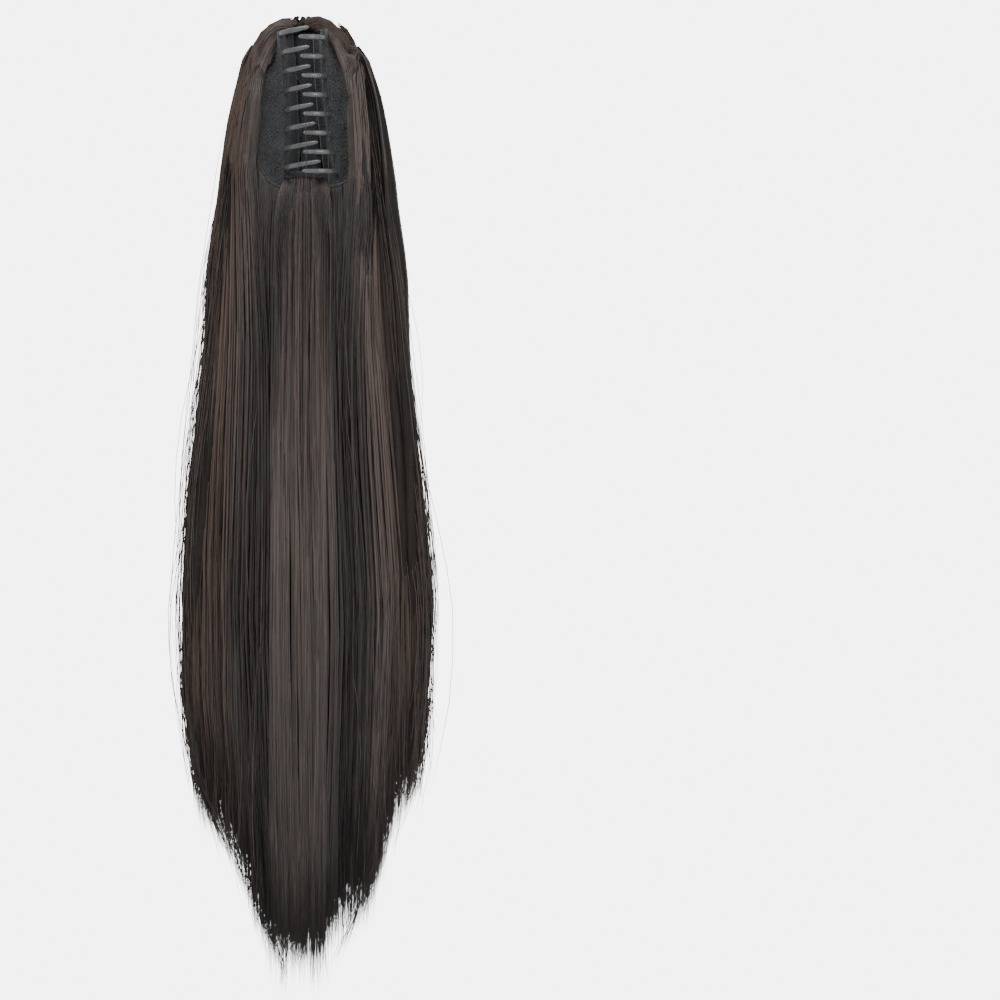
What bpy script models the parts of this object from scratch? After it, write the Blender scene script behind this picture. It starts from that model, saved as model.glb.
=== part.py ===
"""A long straight ponytail hairpiece on a claw clip.

Two toothed jaws turn on a steel pin inside a hollow oval cap of net. The hair is sewn to the
outside of the cap and hangs from it in locks: an outer fall over the top and down the back, a
fall at each side of the clip, and a fall that starts under the clip.

Metres, +Z up. The origin is the middle of the space that the closed jaws grip, and the teeth
point along -Y, towards the wearer's head.
"""

import math

import bmesh
import bpy
import numpy as np
from mathutils import Matrix

MM = 0.001

# Running clearance between pieces that don't touch
GAP = 0.3 * MM

# The claw clip leans a little, as it is sewn into the cap
CLIP_LEAN = math.radians(3.6)
HINGE_Y = 18.0 * MM

# Jaws: a bowed plate each, narrowest above the middle and wider at both ends
JAW_RADIUS = 12.9 * MM
JAW_FLARE = 4.2 * MM
JAW_WAIST_Z = 15.0 * MM
JAW_WALL = 2.4 * MM
JAW_BACK_ANGLE = math.radians(66)
JAW_FRONT_ANGLE = math.radians(-8)
# A jaw's plate is shorter towards the hinge, by up to this share, so that it clears the cap
PLATE_TAPER = 0.27
PLATE_TAPER_POWER = 1.2

# Teeth: those of one jaw pass between those of the other, and each rises from root to tip by
# its own jaw's amount. The left jaw sits higher than the right one by the stagger.
TEETH = 8
TOOTH_PITCH = 11.5 * MM
TOOTH_WIDTH = 3.0 * MM
TOOTH_WALL = 2.7 * MM
TOOTH_STAGGER = 3.65 * MM
TOOTH_DROP = 1.4 * MM
TOOTH_RISES = {-1: 2.8 * MM, 1: 1.2 * MM}
# How far past the middle each jaw's teeth reach, and how much of the jaw's flare adds to it
TOOTH_CROSSINGS = {-1: 4.2 * MM, 1: 1.8 * MM}
TOOTH_CROSSING_FLARE = 0.8
TOOTH_ROOT_ANGLE = math.radians(4)
TOOTH_BEND_ANGLE = math.radians(-68)
# Past its bend a tooth comes forwards by this share of its travel, and its last part tapers
TOOTH_DIP = 0.30
TOOTH_TAPER = 0.45
TOOTH_TAPER_START = 0.6
TOOTH_TAPER_POWER = 1.5

# Hinge: the left jaw's knuckles stand outside the right jaw's, and the spring is between them
PIN_RADIUS = 0.9 * MM
KNUCKLE_RADIUS = 2.9 * MM
KNUCKLE_LENGTH = 5.8 * MM
SPRING_LENGTH = 15.4 * MM
SPRING_WIRE = 0.9 * MM
SPRING_TURNS = 5
SPRING_STEPS = 8
WEB_WALL = 2.2 * MM
WEB_INSET = 0.2 * MM
WEB_ROOT_ANGLE = math.radians(58)

# Thumb levers
LEVER_REACH = 21.5 * MM
LEVER_WIDTH = 27.0 * MM
LEVER_WALL = 2.2 * MM
LEVER_SPREAD = math.radians(27)
LEVER_ROOT_ANGLE = math.radians(52)
LEVER_TIP = 0.8
# How far a lever stays from its knuckles, and where round the hinge it passes them
LEVER_CLEARANCE = 1.3 * MM
LEVER_BENDS = (math.radians(112), math.radians(72))
LEVER_ELBOW = 0.55
LEVER_ELBOW_TURN = 1.12
# The spring's legs reach this share of the way along the levers
SPRING_LEG = 0.45

# Net cap: an oval bowl on its side, open towards the wearer
CAP_WALL = 1.5 * MM
CAP_HALF_WIDTH = 31.9 * MM
CAP_TOP = 47.5 * MM
CAP_BOTTOM = 53.5 * MM
CAP_RIM_FRONT = 8.0 * MM
CAP_RIM_SETBACK = 19.0 * MM
CAP_BACK_Y = 43.5 * MM
CAP_EGG = 0.09
CAP_OUTLINE_POWER = 3.6
CAP_DEPTH_POWER = 3.2
# The rim's step back starts at this share of CAP_TOP and takes the second share of it
CAP_STEP_START = 0.24
CAP_STEP_RISE = 0.50
CAP_TURNS = tuple(math.radians(a) for a in (16, 34, 50, 64, 78, 90))
CAP_ROUND = 24
LUG_LENGTH = 4.0 * MM
LUG_WIDTH = 6.4 * MM

# Hair
HAIR_HALF_SPREAD = 74.0 * MM
HAIR_DEPTH = 44.0 * MM
HAIR_DROP = 519.0 * MM
HAIR_COVER = 7.0 * MM
HAIR_WAVE = 2.2 * MM
HAIR_WAVE_TURN = 9.0
HAIR_WAVE_SHIFT = 5.0
CROWN_LEAN = 2.8 * MM
# The hair is a thin cover down to the first share of CAP_BOTTOM, and free of the cap at the second
COVER_HEIGHTS = (0.6, 1.4)

# The hair over the cap. Height is a share of CAP_TOP, or of CAP_BOTTOM below the origin; width is
# the outer half width and inner is the edge beside the clip, both as shares of CAP_HALF_WIDTH;
# front, parting and back are shares of CAP_BACK_Y.
CROWN_COLUMNS = ("height", "width", "inner", "front", "parting", "back")
CROWN = (
    (1.075, 0.40, 0.30, 0.25, 0.26, 0.37),
    (1.045, 0.64, 0.40, 0.27, 0.31, 0.68),
    (0.97, 0.80, 0.50, 0.28, 0.40, 0.93),
    (0.88, 0.90, 0.64, 0.27, 0.55, 1.02),
    (0.80, 0.97, 0.74, 0.27, 0.58, 1.08),
    (0.65, 1.10, 0.84, 0.18, 0.54, 1.13),
    (0.53, 1.18, 0.90, 0.02, 0.48, 1.17),
    (0.15, 1.33, 0.98, -0.26, 0.34, 1.21),
    (-0.20, 1.43, 1.04, -0.32, 0.30, 1.22),
    (-0.54, 1.51, 1.09, -0.32, 0.30, 1.20),
    (-0.88, 1.58, 1.10, -0.30, 0.30, 1.15),
)

# The hair below the cap. Height is a share of HAIR_DROP; width and inner are shares of
# HAIR_HALF_SPREAD; front, parting and back are shares of HAIR_DEPTH.
FALL = (
    (-0.125, 0.70, 0.40, -0.27, 0.295, 1.08),
    (-0.195, 0.77, 0.31, -0.20, 0.295, 0.96),
    (-0.300, 0.82, 0.27, -0.16, 0.295, 0.87),
    (-0.437, 0.93, 0.27, -0.14, 0.295, 0.78),
    (-0.576, 1.00, 0.30, -0.11, 0.295, 0.72),
    (-0.680, 0.98, 0.30, -0.09, 0.295, 0.67),
    (-0.784, 0.89, 0.26, -0.04, 0.280, 0.61),
    (-0.854, 0.66, 0.20, 0.00, 0.270, 0.57),
    (-0.923, 0.44, 0.13, 0.07, 0.270, 0.50),
    (-1.000, 0.20, 0.06, 0.14, 0.270, 0.41),
)

# Locks: place is the share of the way across the fall, top is where a lock is sewn on as a share
# of the cap's height above or below the origin, end is where its tip hangs as a share of the drop.
SIDE_LOCKS = (
    (0.08, 0.98, 0.955),
    (0.30, 0.96, 0.900),
    (0.54, 0.92, 0.870),
    (0.77, 0.80, 0.800),
    (0.97, 0.60, 0.765),
)
OUTER_LOCKS = (
    (-0.97, 0.74, 0.745),
    (-0.76, 0.94, 0.830),
    (-0.52, 1.03, 0.915),
    (-0.27, 1.05, 0.965),
    (0.00, 1.07, 1.000),
    (0.25, 1.055, 0.975),
    (0.50, 1.025, 0.905),
    (0.75, 0.93, 0.860),
    (0.97, 0.72, 0.790),
)
UNDER_LOCKS = (
    (-0.72, -0.94, 0.900),
    (-0.24, -0.92, 0.985),
    (0.26, -0.92, 0.950),
    (0.74, -0.94, 0.880),
)

# Stations along a lock, as shares of the way from its top to its tip, with its girth there
LOCK_STATIONS = (
    (0.000, 0.80),
    (0.003, 0.90),
    (0.011, 1.00),
    (0.030, 1.00),
    (0.075, 1.00),
    (0.170, 1.00),
    (0.330, 1.00),
    (0.500, 1.00),
    (0.660, 1.00),
    (0.800, 0.95),
    (0.910, 0.62),
    (1.000, 0.10),
)
LOCK_SIDES = 7
# Locks are wider than their share of the fall, so that neighbours join
LOCK_OVERLAP = 1.42
# The fall's section flattens towards its edges, down to this share of its depth
LOCK_EDGE = 0.25
LOCK_THINNING = 0.35

# Heights at which the partings between the falls are taken, as shares of HAIR_DROP, CAP_BOTTOM
# and CAP_TOP
PARTING_DROPS = (-1.2, -1.0, -0.784, -0.437, -0.195)
PARTING_BOTTOMS = (-1.0, -0.5)
PARTING_TOPS = (0.15, 0.65, 0.88, 0.97, 1.045, 1.6)


def clear_scene():
    for obj in list(bpy.data.objects):
        bpy.data.objects.remove(obj, do_unlink=True)


def new_collection(name, hidden=False):
    collection = bpy.data.collections.new(name)
    bpy.context.scene.collection.children.link(collection)
    collection.hide_render = hidden
    return collection


def new_material(name, colour, roughness, metallic=0.0):
    material = bpy.data.materials.new(name)
    material.use_nodes = True
    shader = material.node_tree.nodes["Principled BSDF"]
    shader.inputs["Base Color"].default_value = (*colour, 1.0)
    shader.inputs["Roughness"].default_value = roughness
    shader.inputs["Metallic"].default_value = metallic
    return material


def mesh_object(name, points, faces, collection, material=None):
    """An object made of the given points and faces, with every face turned outwards."""
    mesh = bpy.data.meshes.new(name)
    mesh.from_pydata([tuple(p) for p in points], [], [tuple(f) for f in faces])
    shape = bmesh.new()
    shape.from_mesh(mesh)
    bmesh.ops.recalc_face_normals(shape, faces=shape.faces)
    shape.to_mesh(mesh)
    shape.free()
    if material:
        mesh.materials.append(material)
    obj = bpy.data.objects.new(name, mesh)
    collection.objects.link(obj)
    return obj


def loft_faces(rings, sides):
    """Quads between neighbouring rings of points, and a flat cap at each end."""
    faces = [tuple(range(sides))[::-1]]
    for ring in range(rings - 1):
        for side in range(sides):
            following = (side + 1) % sides
            low = ring * sides
            high = low + sides
            faces.append((low + side, low + following, high + following, high + side))
    last = (rings - 1) * sides
    faces.append(tuple(range(last, last + sides)))
    return faces


def loft(name, rings, collection, material=None):
    rings = np.asarray(rings)
    return mesh_object(
        name, rings.reshape(-1, 3), loft_faces(len(rings), rings.shape[1]), collection, material
    )


def box(name, low, high, collection):
    bpy.ops.mesh.primitive_cube_add(size=1)
    obj = bpy.context.object
    size = np.subtract(high, low)
    middle = np.add(high, low) / 2
    obj.data.transform(Matrix.Translation(middle) @ Matrix.Diagonal((*size, 1)))
    return own(obj, name, collection)


def upright_cylinder(name, radius, low, high, x, y, collection, sides=20):
    bpy.ops.mesh.primitive_cylinder_add(vertices=sides, radius=radius, depth=high - low)
    obj = bpy.context.object
    obj.data.transform(Matrix.Translation((x, y, (low + high) / 2)))
    return own(obj, name, collection)


def own(obj, name, collection):
    """Gives an object its name and keeps it in one collection only."""
    obj.name = name
    obj.data.name = name
    for other in list(obj.users_collection):
        other.objects.unlink(obj)
    collection.objects.link(obj)
    return obj


def combine(obj, others, operation):
    """Applies one Boolean for each of the other objects, which are then helpers."""
    for other in others:
        step = obj.modifiers.new(other.name, "BOOLEAN")
        step.operation = operation
        step.solver = "EXACT"
        step.object = other
        other.hide_render = True
        other.display_type = "WIRE"


def settle(obj):
    """Replaces a mesh by what its modifiers make of it, and joins points that coincide."""
    graph = bpy.context.evaluated_depsgraph_get()
    made = bpy.data.meshes.new_from_object(obj.evaluated_get(graph))
    obj.modifiers.clear()
    obj.data = made
    shape = bmesh.new()
    shape.from_mesh(made)
    bmesh.ops.remove_doubles(shape, verts=shape.verts, dist=0.002 * MM)
    bmesh.ops.triangulate(shape, faces=shape.faces)
    bmesh.ops.holes_fill(shape, edges=shape.edges, sides=4)
    shape.to_mesh(made)
    shape.free()


# The claw clip


def jaw_radius(z):
    """Radius of the middle of a jaw's wall at a height: least at the waist, growing to both ends."""
    reach = TEETH * TOOTH_PITCH / 2
    return JAW_RADIUS + JAW_FLARE * ((z - JAW_WAIST_Z) / (reach + JAW_WAIST_Z)) ** 2


def jaw_arc(angle, z):
    """A point on the middle of the right jaw's wall. The angle runs from +X towards +Y."""
    radius = jaw_radius(z)
    return np.array([radius * math.cos(angle), radius * math.sin(angle), z])


def jaw_plate(name, side, centre_z, collection, material):
    """The bowed wall of a jaw: an open grid, shorter towards the hinge, made thick by Solidify."""
    half = (TEETH - 1) / 2 * TOOTH_PITCH + TOOTH_WIDTH / 2 + GAP
    angles = np.linspace(JAW_BACK_ANGLE, JAW_FRONT_ANGLE, 7)
    shares = np.linspace(-1.0, 1.0, 9)
    points = []
    for angle in angles:
        length = half * (1.0 - PLATE_TAPER * max(0.0, math.sin(angle)) ** PLATE_TAPER_POWER)
        for share in shares:
            x, y, z = jaw_arc(angle, centre_z + share * length)
            points.append((side * x, y, z))
    columns = len(shares)
    faces = []
    for row in range(len(angles) - 1):
        for column in range(columns - 1):
            first = row * columns + column
            faces.append((first, first + 1, first + 1 + columns, first + columns))
    obj = mesh_object(name, points, faces, collection, material)
    wall = obj.modifiers.new("wall", "SOLIDIFY")
    wall.thickness = JAW_WALL
    wall.offset = 0.0
    settle(obj)
    return obj


def strip(name, path, inward, half_widths, half_walls, collection):
    """A bar of four-sided section along a path in plan: upright half widths, and a wall in plan."""
    rings = []
    for point, normal, half_width, half_wall in zip(path, inward, half_widths, half_walls):
        point = np.asarray(point)
        across = np.array([normal[0], normal[1], 0.0]) * half_wall
        up = np.array([0.0, 0.0, half_width])
        rings.append([point - across - up, point + across - up, point + across + up,
                      point - across + up])
    return loft(name, rings, collection)


def plan_normals(path):
    """Unit normals of a path seen in plan."""
    path = np.asarray(path)
    along = np.gradient(path[:, :2], axis=0)
    along /= np.linalg.norm(along, axis=1)[:, None]
    return np.column_stack([-along[:, 1], along[:, 0]])


def tooth(name, side, root_z, collection):
    """A tooth: it follows the jaw's bow to the front, then crosses the middle and ends thinner."""
    angles = np.linspace(TOOTH_ROOT_ANGLE, TOOTH_BEND_ANGLE, 5)
    path = [jaw_arc(angle, root_z) for angle in angles]
    start = path[-1]
    crossing = TOOTH_CROSSINGS[side] + TOOTH_CROSSING_FLARE * (jaw_radius(root_z) - JAW_RADIUS)
    for share in (0.5, 1.0):
        x = start[0] - (start[0] + crossing) * share
        path.append(np.array([x, start[1] - TOOTH_DIP * (start[0] - x), root_z]))
    path = np.array(path)
    travelled = np.concatenate([[0], np.cumsum(np.linalg.norm(np.diff(path, axis=0), axis=1))])
    share = travelled / travelled[-1]
    path[:, 2] += TOOTH_RISES[side] * share
    path[:, 0] *= side
    tip_share = np.clip((share - TOOTH_TAPER_START) / (1 - TOOTH_TAPER_START), 0, 1)
    taper = 1.0 - TOOTH_TAPER * tip_share ** TOOTH_TAPER_POWER
    return strip(name, path, plan_normals(path), TOOTH_WIDTH / 2 * taper,
                 TOOTH_WALL / 2 * taper, collection)


def lever(name, side, collection):
    """A thumb lever: it leaves the plate's back edge, passes beside the hinge and slants away."""
    plate = jaw_arc(LEVER_ROOT_ANGLE, 0.0)
    clear = KNUCKLE_RADIUS + LEVER_WALL / 2 + LEVER_CLEARANCE
    stops = [(plate[0], plate[1])]
    for radius, angle in (
        (clear, LEVER_BENDS[0]),
        (clear, LEVER_BENDS[1]),
        (LEVER_REACH * LEVER_ELBOW, LEVER_SPREAD * LEVER_ELBOW_TURN),
        (LEVER_REACH, LEVER_SPREAD),
    ):
        stops.append((radius * math.sin(angle), HINGE_Y + radius * math.cos(angle)))
    path = np.array([(side * x, y, 0.0) for x, y in stops])
    widths = LEVER_WIDTH / 2 * np.array([1.0, 1.0, 1.0, 1.0, LEVER_TIP])
    walls = np.full(len(path), LEVER_WALL / 2)
    return strip(name, path, plan_normals(path), widths, walls, collection)


def knuckles(name, side, inner_z, collection):
    """Two knuckles of a jaw, each with the web that joins it to the plate, and their bores."""
    made = []
    for sign in (-1, 1):
        low, high = sorted((sign * inner_z, sign * (inner_z + KNUCKLE_LENGTH)))
        middle = (low + high) / 2
        ring = upright_cylinder(f"{name}_{sign}", KNUCKLE_RADIUS, low, high, 0.0, HINGE_Y,
                                collection)
        end = jaw_arc(WEB_ROOT_ANGLE, middle)
        # The web starts inside the knuckle's wall
        start_x = (PIN_RADIUS + KNUCKLE_RADIUS) / 2
        path = np.array([
            (side * start_x, HINGE_Y - PIN_RADIUS, middle),
            (side * end[0], end[1], middle),
        ])
        half_width = KNUCKLE_LENGTH / 2 - WEB_INSET
        web = strip(f"{name}_web_{sign}", path, plan_normals(path), [half_width, half_width],
                    [WEB_WALL / 2, WEB_WALL / 2], collection)
        made += [ring, web]
    return made


def jaw(name, side, centre_z, knuckle_z, collections, material):
    parts, cutters = collections
    obj = jaw_plate(name, side, centre_z, parts, material)
    pieces = [lever(name + "_lever", side, cutters)]
    pieces += knuckles(name + "_knuckle", side, knuckle_z, cutters)
    for index in range(TEETH):
        root_z = centre_z + ((TEETH - 1) / 2 - index) * TOOTH_PITCH
        pieces.append(tooth(f"{name}_tooth_{index}", side, root_z, cutters))
    combine(obj, pieces, "UNION")
    reach = LEVER_WIDTH + KNUCKLE_LENGTH
    bore = upright_cylinder(name + "_bore", PIN_RADIUS + GAP, -reach, reach, 0.0, HINGE_Y, cutters,
                            sides=16)
    combine(obj, [bore], "DIFFERENCE")
    settle(obj)
    return obj


def spring(name, collections, material):
    """An open coil round the pin, and a leg at each end that lies inside the lever of its side."""
    parts, _ = collections
    mean = PIN_RADIUS + SPRING_WIRE / 2 + GAP
    half = SPRING_LENGTH / 2 - SPRING_WIRE
    steps = SPRING_STEPS * SPRING_TURNS
    leg = LEVER_REACH * SPRING_LEG
    inside = KNUCKLE_RADIUS + LEVER_CLEARANCE - SPRING_WIRE / 2 - GAP
    points = [(-inside, HINGE_Y + leg, half)]
    for step in range(steps + 1):
        share = step / steps
        # The coil starts at the left and ends at the right of the pin
        angle = math.pi + (SPRING_TURNS * 2 - 1) * math.pi * share
        points.append((mean * math.cos(angle), HINGE_Y + mean * math.sin(angle),
                       half - 2 * half * share))
    points.append((inside, HINGE_Y + leg, -half))
    curve = bpy.data.curves.new(name, "CURVE")
    curve.dimensions = "3D"
    curve.bevel_depth = SPRING_WIRE / 2
    curve.bevel_resolution = 1
    curve.use_fill_caps = True
    line = curve.splines.new("POLY")
    line.points.add(len(points) - 1)
    for slot, point in zip(line.points, points):
        slot.co = (*point, 1.0)
    curve.materials.append(material)
    obj = bpy.data.objects.new(name, curve)
    parts.objects.link(obj)
    return obj


# The net cap

CAP_MIDDLE_Z = (CAP_TOP - CAP_BOTTOM) / 2
CAP_HALF_HEIGHT = (CAP_TOP + CAP_BOTTOM) / 2


def signed_power(value, power):
    return math.copysign(abs(value) ** power, value)


def cap_rim(angle, grow=0.0):
    """The cap's rim seen from the front: a rounded oblong, a little narrower at the top.

    The angle runs from +Z towards +X, and grow is added to both half sizes.
    """
    up = signed_power(math.cos(angle), 2 / CAP_OUTLINE_POWER)
    out = signed_power(math.sin(angle), 2 / CAP_OUTLINE_POWER)
    x = (CAP_HALF_WIDTH + grow) * out * (1 - CAP_EGG * up)
    z = CAP_MIDDLE_Z + (CAP_HALF_HEIGHT + grow) * up
    return x, z


def cap_rim_y(z):
    """The rim is level in front, and steps back above the jaws so that they can open."""
    share = (z - CAP_STEP_START * CAP_TOP) / (CAP_STEP_RISE * CAP_TOP)
    share = min(1.0, max(0.0, share))
    return -CAP_RIM_FRONT + CAP_RIM_SETBACK * share * share * (3 - 2 * share)


def cap_point(angle, turn, grow=0.0):
    """A point of the bowl: turn is 0 at the middle of its back and a right angle at its rim."""
    rim_x, rim_z = cap_rim(angle, grow)
    share = math.sin(turn) ** (2 / CAP_DEPTH_POWER)
    fall = 1 - max(0.0, math.cos(turn)) ** (2 / CAP_DEPTH_POWER)
    x = rim_x * share
    z = CAP_MIDDLE_Z + (rim_z - CAP_MIDDLE_Z) * share
    back = CAP_BACK_Y + grow
    return x, back - (back - cap_rim_y(rim_z)) * fall, z


def cap_grid(grow=0.0):
    """Rings of points from the back of the bowl to its rim, after the one point at the back."""
    rings = [
        [cap_point(2 * math.pi * k / CAP_ROUND, turn, grow) for k in range(CAP_ROUND)]
        for turn in CAP_TURNS
    ]
    return [(0.0, CAP_BACK_Y + grow, CAP_MIDDLE_Z)], rings


def ring_faces(rings):
    """Triangles from the first point to the first ring, then quads from ring to ring."""
    faces = []
    for k in range(CAP_ROUND):
        following = (k + 1) % CAP_ROUND
        faces.append((0, 1 + k, 1 + following))
        for ring in range(rings - 1):
            low = 1 + ring * CAP_ROUND
            high = low + CAP_ROUND
            faces.append((low + k, high + k, high + following, low + following))
    return faces


def lean(obj):
    """Turns a piece of the clip or cap about the origin, as the clip leans."""
    obj.data.transform(Matrix.Rotation(-CLIP_LEAN, 4, "Y"))


def cap_back_at(z):
    """Where the bowl's outer back is, on the middle line, at a height."""
    reach = CAP_TOP if z > CAP_MIDDLE_Z else -CAP_BOTTOM
    share = abs((z - CAP_MIDDLE_Z) / (reach - CAP_MIDDLE_Z))
    depth = (1 - share ** CAP_DEPTH_POWER) ** (1 / CAP_DEPTH_POWER)
    rim = cap_rim_y(reach)
    return rim + (CAP_BACK_Y - rim) * depth


def net_cap(name, collections, material):
    parts, cutters = collections
    pole, rings = cap_grid()
    points = pole + [point for ring in rings for point in ring]
    obj = mesh_object(name, points, ring_faces(len(rings)), parts, material)
    wall = obj.modifiers.new("wall", "SOLIDIFY")
    wall.thickness = CAP_WALL
    wall.offset = -1.0
    settle(obj)
    pin_end = 2 * KNUCKLE_LENGTH + SPRING_LENGTH / 2 + 3 * GAP
    lugs = []
    for sign in (-1, 1):
        low, high = sorted((sign * pin_end, sign * (pin_end + LUG_LENGTH)))
        front = HINGE_Y - LUG_WIDTH / 2
        back = cap_back_at((low + high) / 2) - CAP_WALL / 2
        lugs.append(box(f"{name}_lug_{sign}", (-LUG_WIDTH / 2, front, low),
                        (LUG_WIDTH / 2, back, high), cutters))
    combine(obj, lugs, "UNION")
    reach = pin_end + LUG_LENGTH
    bore = upright_cylinder(name + "_bore", PIN_RADIUS + GAP, -reach * 1.1, reach * 1.1, 0.0,
                            HINGE_Y, cutters, sides=16)
    combine(obj, [bore], "DIFFERENCE")
    settle(obj)
    return obj


def cap_space(name, cutters):
    """What the hair keeps clear of: the cap, a gap round it, and all that is in front of its rim."""
    pole, rings = cap_grid(GAP)
    front = -3 * CAP_HALF_WIDTH
    rings.append([(x, front, z) for x, _, z in rings[-1]])
    points = pole + [point for ring in rings for point in ring]
    faces = ring_faces(len(rings))
    faces.append(tuple(range(len(points) - CAP_ROUND, len(points))))
    obj = mesh_object(name, points, faces, cutters)
    lean(obj)
    return obj


# The hair


def hair_table():
    """The two tables as one array of lengths, lowest row first."""
    rows = []
    for height, width, inner, front, parting, back in CROWN:
        z = height * (CAP_TOP if height > 0 else CAP_BOTTOM)
        rows.append((z, width * CAP_HALF_WIDTH, inner * CAP_HALF_WIDTH, front * CAP_BACK_Y,
                     parting * CAP_BACK_Y, back * CAP_BACK_Y))
    for height, width, inner, front, parting, back in FALL:
        rows.append((height * HAIR_DROP, width * HAIR_HALF_SPREAD, inner * HAIR_HALF_SPREAD,
                     front * HAIR_DEPTH, parting * HAIR_DEPTH, back * HAIR_DEPTH))
    return np.array(sorted(rows))


HAIR = hair_table()


def hair_at(column, z):
    return np.interp(z, HAIR[:, 0], HAIR[:, CROWN_COLUMNS.index(column)])


def middle_x(z):
    """The middle of the fall: it follows the leaning cap at the top, and hangs plumb below."""
    return np.interp(z, [0.0, CAP_TOP], [0.0, -CROWN_LEAN])


def lock(name, place, top, end, span, layer, collection):
    """One lock of hair: an oval section carried down a path, thin at its seam and at its tip.

    span gives the two edges of the fall at a height, place the share of the way between them,
    and layer is 1 for the outer fall and -1 for hair in front of the parting.
    """
    z_top = top * (CAP_TOP if top > 0 else CAP_BOTTOM)
    z_end = -end * HAIR_DROP
    shares, girths = np.array(LOCK_STATIONS).T
    z = z_top + (z_end - z_top) * shares
    left, right, count = span(z)
    half_width = (right - left) / (2 * count)
    parting = hair_at("parting", z)
    face = hair_at("back", z) if layer > 0 else hair_at("front", z)
    depth = np.abs(face - parting)
    # A thin cover over the cap, and half of the fall's depth once it hangs free
    over_cap, hanging = COVER_HEIGHTS
    cover = np.interp(z, [-hanging * CAP_BOTTOM, -over_cap * CAP_BOTTOM],
                      [HAIR_DEPTH, HAIR_COVER])
    thick = np.minimum(depth / 2, cover)
    # Places run from -1 to 1 across the outer fall, and from 0 to 1 across a side fall
    reach = (place + 1) / 2
    x = left + half_width + (right - left - 2 * half_width) * reach
    # The wave starts at nothing and is full a third of the way down
    wave = HAIR_WAVE * np.sin(HAIR_WAVE_TURN * shares + HAIR_WAVE_SHIFT * place + layer)
    x = x + wave * np.clip(shares * 3, 0, 1)
    width = hair_at("width", z)
    bow = np.sqrt(np.clip(1 - (x / width) ** 2, LOCK_EDGE ** 2, 1.0))
    x = x + middle_x(z)
    y = parting + layer * (depth - thick) * (bow - LOCK_EDGE) / (1 - LOCK_EDGE)
    along = np.gradient(np.column_stack([x, y, z]), axis=0)
    along /= np.linalg.norm(along, axis=1)[:, None]
    out = np.column_stack([np.zeros_like(x), np.full_like(x, layer), np.zeros_like(x)])
    out -= along * (out * along).sum(axis=1)[:, None]
    out /= np.linalg.norm(out, axis=1)[:, None]
    across = np.cross(along, out)
    turn = np.linspace(0, 2 * math.pi, LOCK_SIDES, endpoint=False)
    a = (half_width * LOCK_OVERLAP * girths)[:, None, None]
    b = (thick * bow ** LOCK_THINNING * girths)[:, None, None]
    centre = np.column_stack([x, y, z])[:, None, :]
    rings = (centre + a * np.cos(turn)[None, :, None] * across[:, None, :]
             + b * np.sin(turn)[None, :, None] * out[:, None, :])
    return loft(name, rings, collection)


def outer_span(z):
    width = hair_at("width", z)
    return -width, width, len(OUTER_LOCKS)


def under_span(z):
    inner = hair_at("inner", z)
    return -inner, inner, len(UNDER_LOCKS)


def side_span(side):
    def span(z):
        width = hair_at("width", z)
        inner = hair_at("inner", z)
        edges = (inner, width) if side > 0 else (-width, -inner)
        return (*edges, len(SIDE_LOCKS))

    return span


REGION_HEIGHTS = np.concatenate([np.multiply(PARTING_DROPS, HAIR_DROP),
                                 np.multiply(PARTING_BOTTOMS, CAP_BOTTOM),
                                 np.multiply(PARTING_TOPS, CAP_TOP)])


def hair_region(name, edges, fronts, collection):
    """A block whose sides follow the partings: four corners at each height, joined by a loft."""
    rings = []
    for z, (left, right), (front, back) in zip(REGION_HEIGHTS, edges, fronts):
        rings.append([(left, front, z), (right, front, z), (right, back, z), (left, back, z)])
    return loft(name, rings, collection)


def fall(name, locks, span, layer, edges, collections, material, space):
    """A fall of hair: its locks joined, kept on its side of the partings and clear of the cap."""
    parts, cutters = collections
    pieces = [
        lock(f"{name}_{index}", place, top, end, span, layer, cutters)
        for index, (place, top, end) in enumerate(locks)
    ]
    base = pieces[0].copy()
    base.data = pieces[0].data.copy()
    obj = own(base, name, parts)
    bpy.data.objects.remove(pieces[0])
    obj.data.materials.append(material)
    combine(obj, pieces[1:], "UNION")
    settle(obj)
    far = 3 * HAIR_HALF_SPREAD
    parting = hair_at("parting", REGION_HEIGHTS)
    if layer > 0:
        fronts = [(y + GAP / 2, far) for y in parting]
    else:
        fronts = [(-far, y - GAP / 2) for y in parting]
    region = hair_region(name + "_region", edges, fronts, cutters)
    combine(obj, [region], "INTERSECT")
    combine(obj, [space], "DIFFERENCE")
    settle(obj)
    return obj


def parting_edges(side):
    """The line between a side fall and the one under the clip; the side falls meet above it."""
    inner = hair_at("inner", REGION_HEIGHTS)
    inner = np.where(REGION_HEIGHTS > -COVER_HEIGHTS[0] * CAP_BOTTOM, 0.0, inner)
    return side * inner + middle_x(REGION_HEIGHTS)


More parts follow.
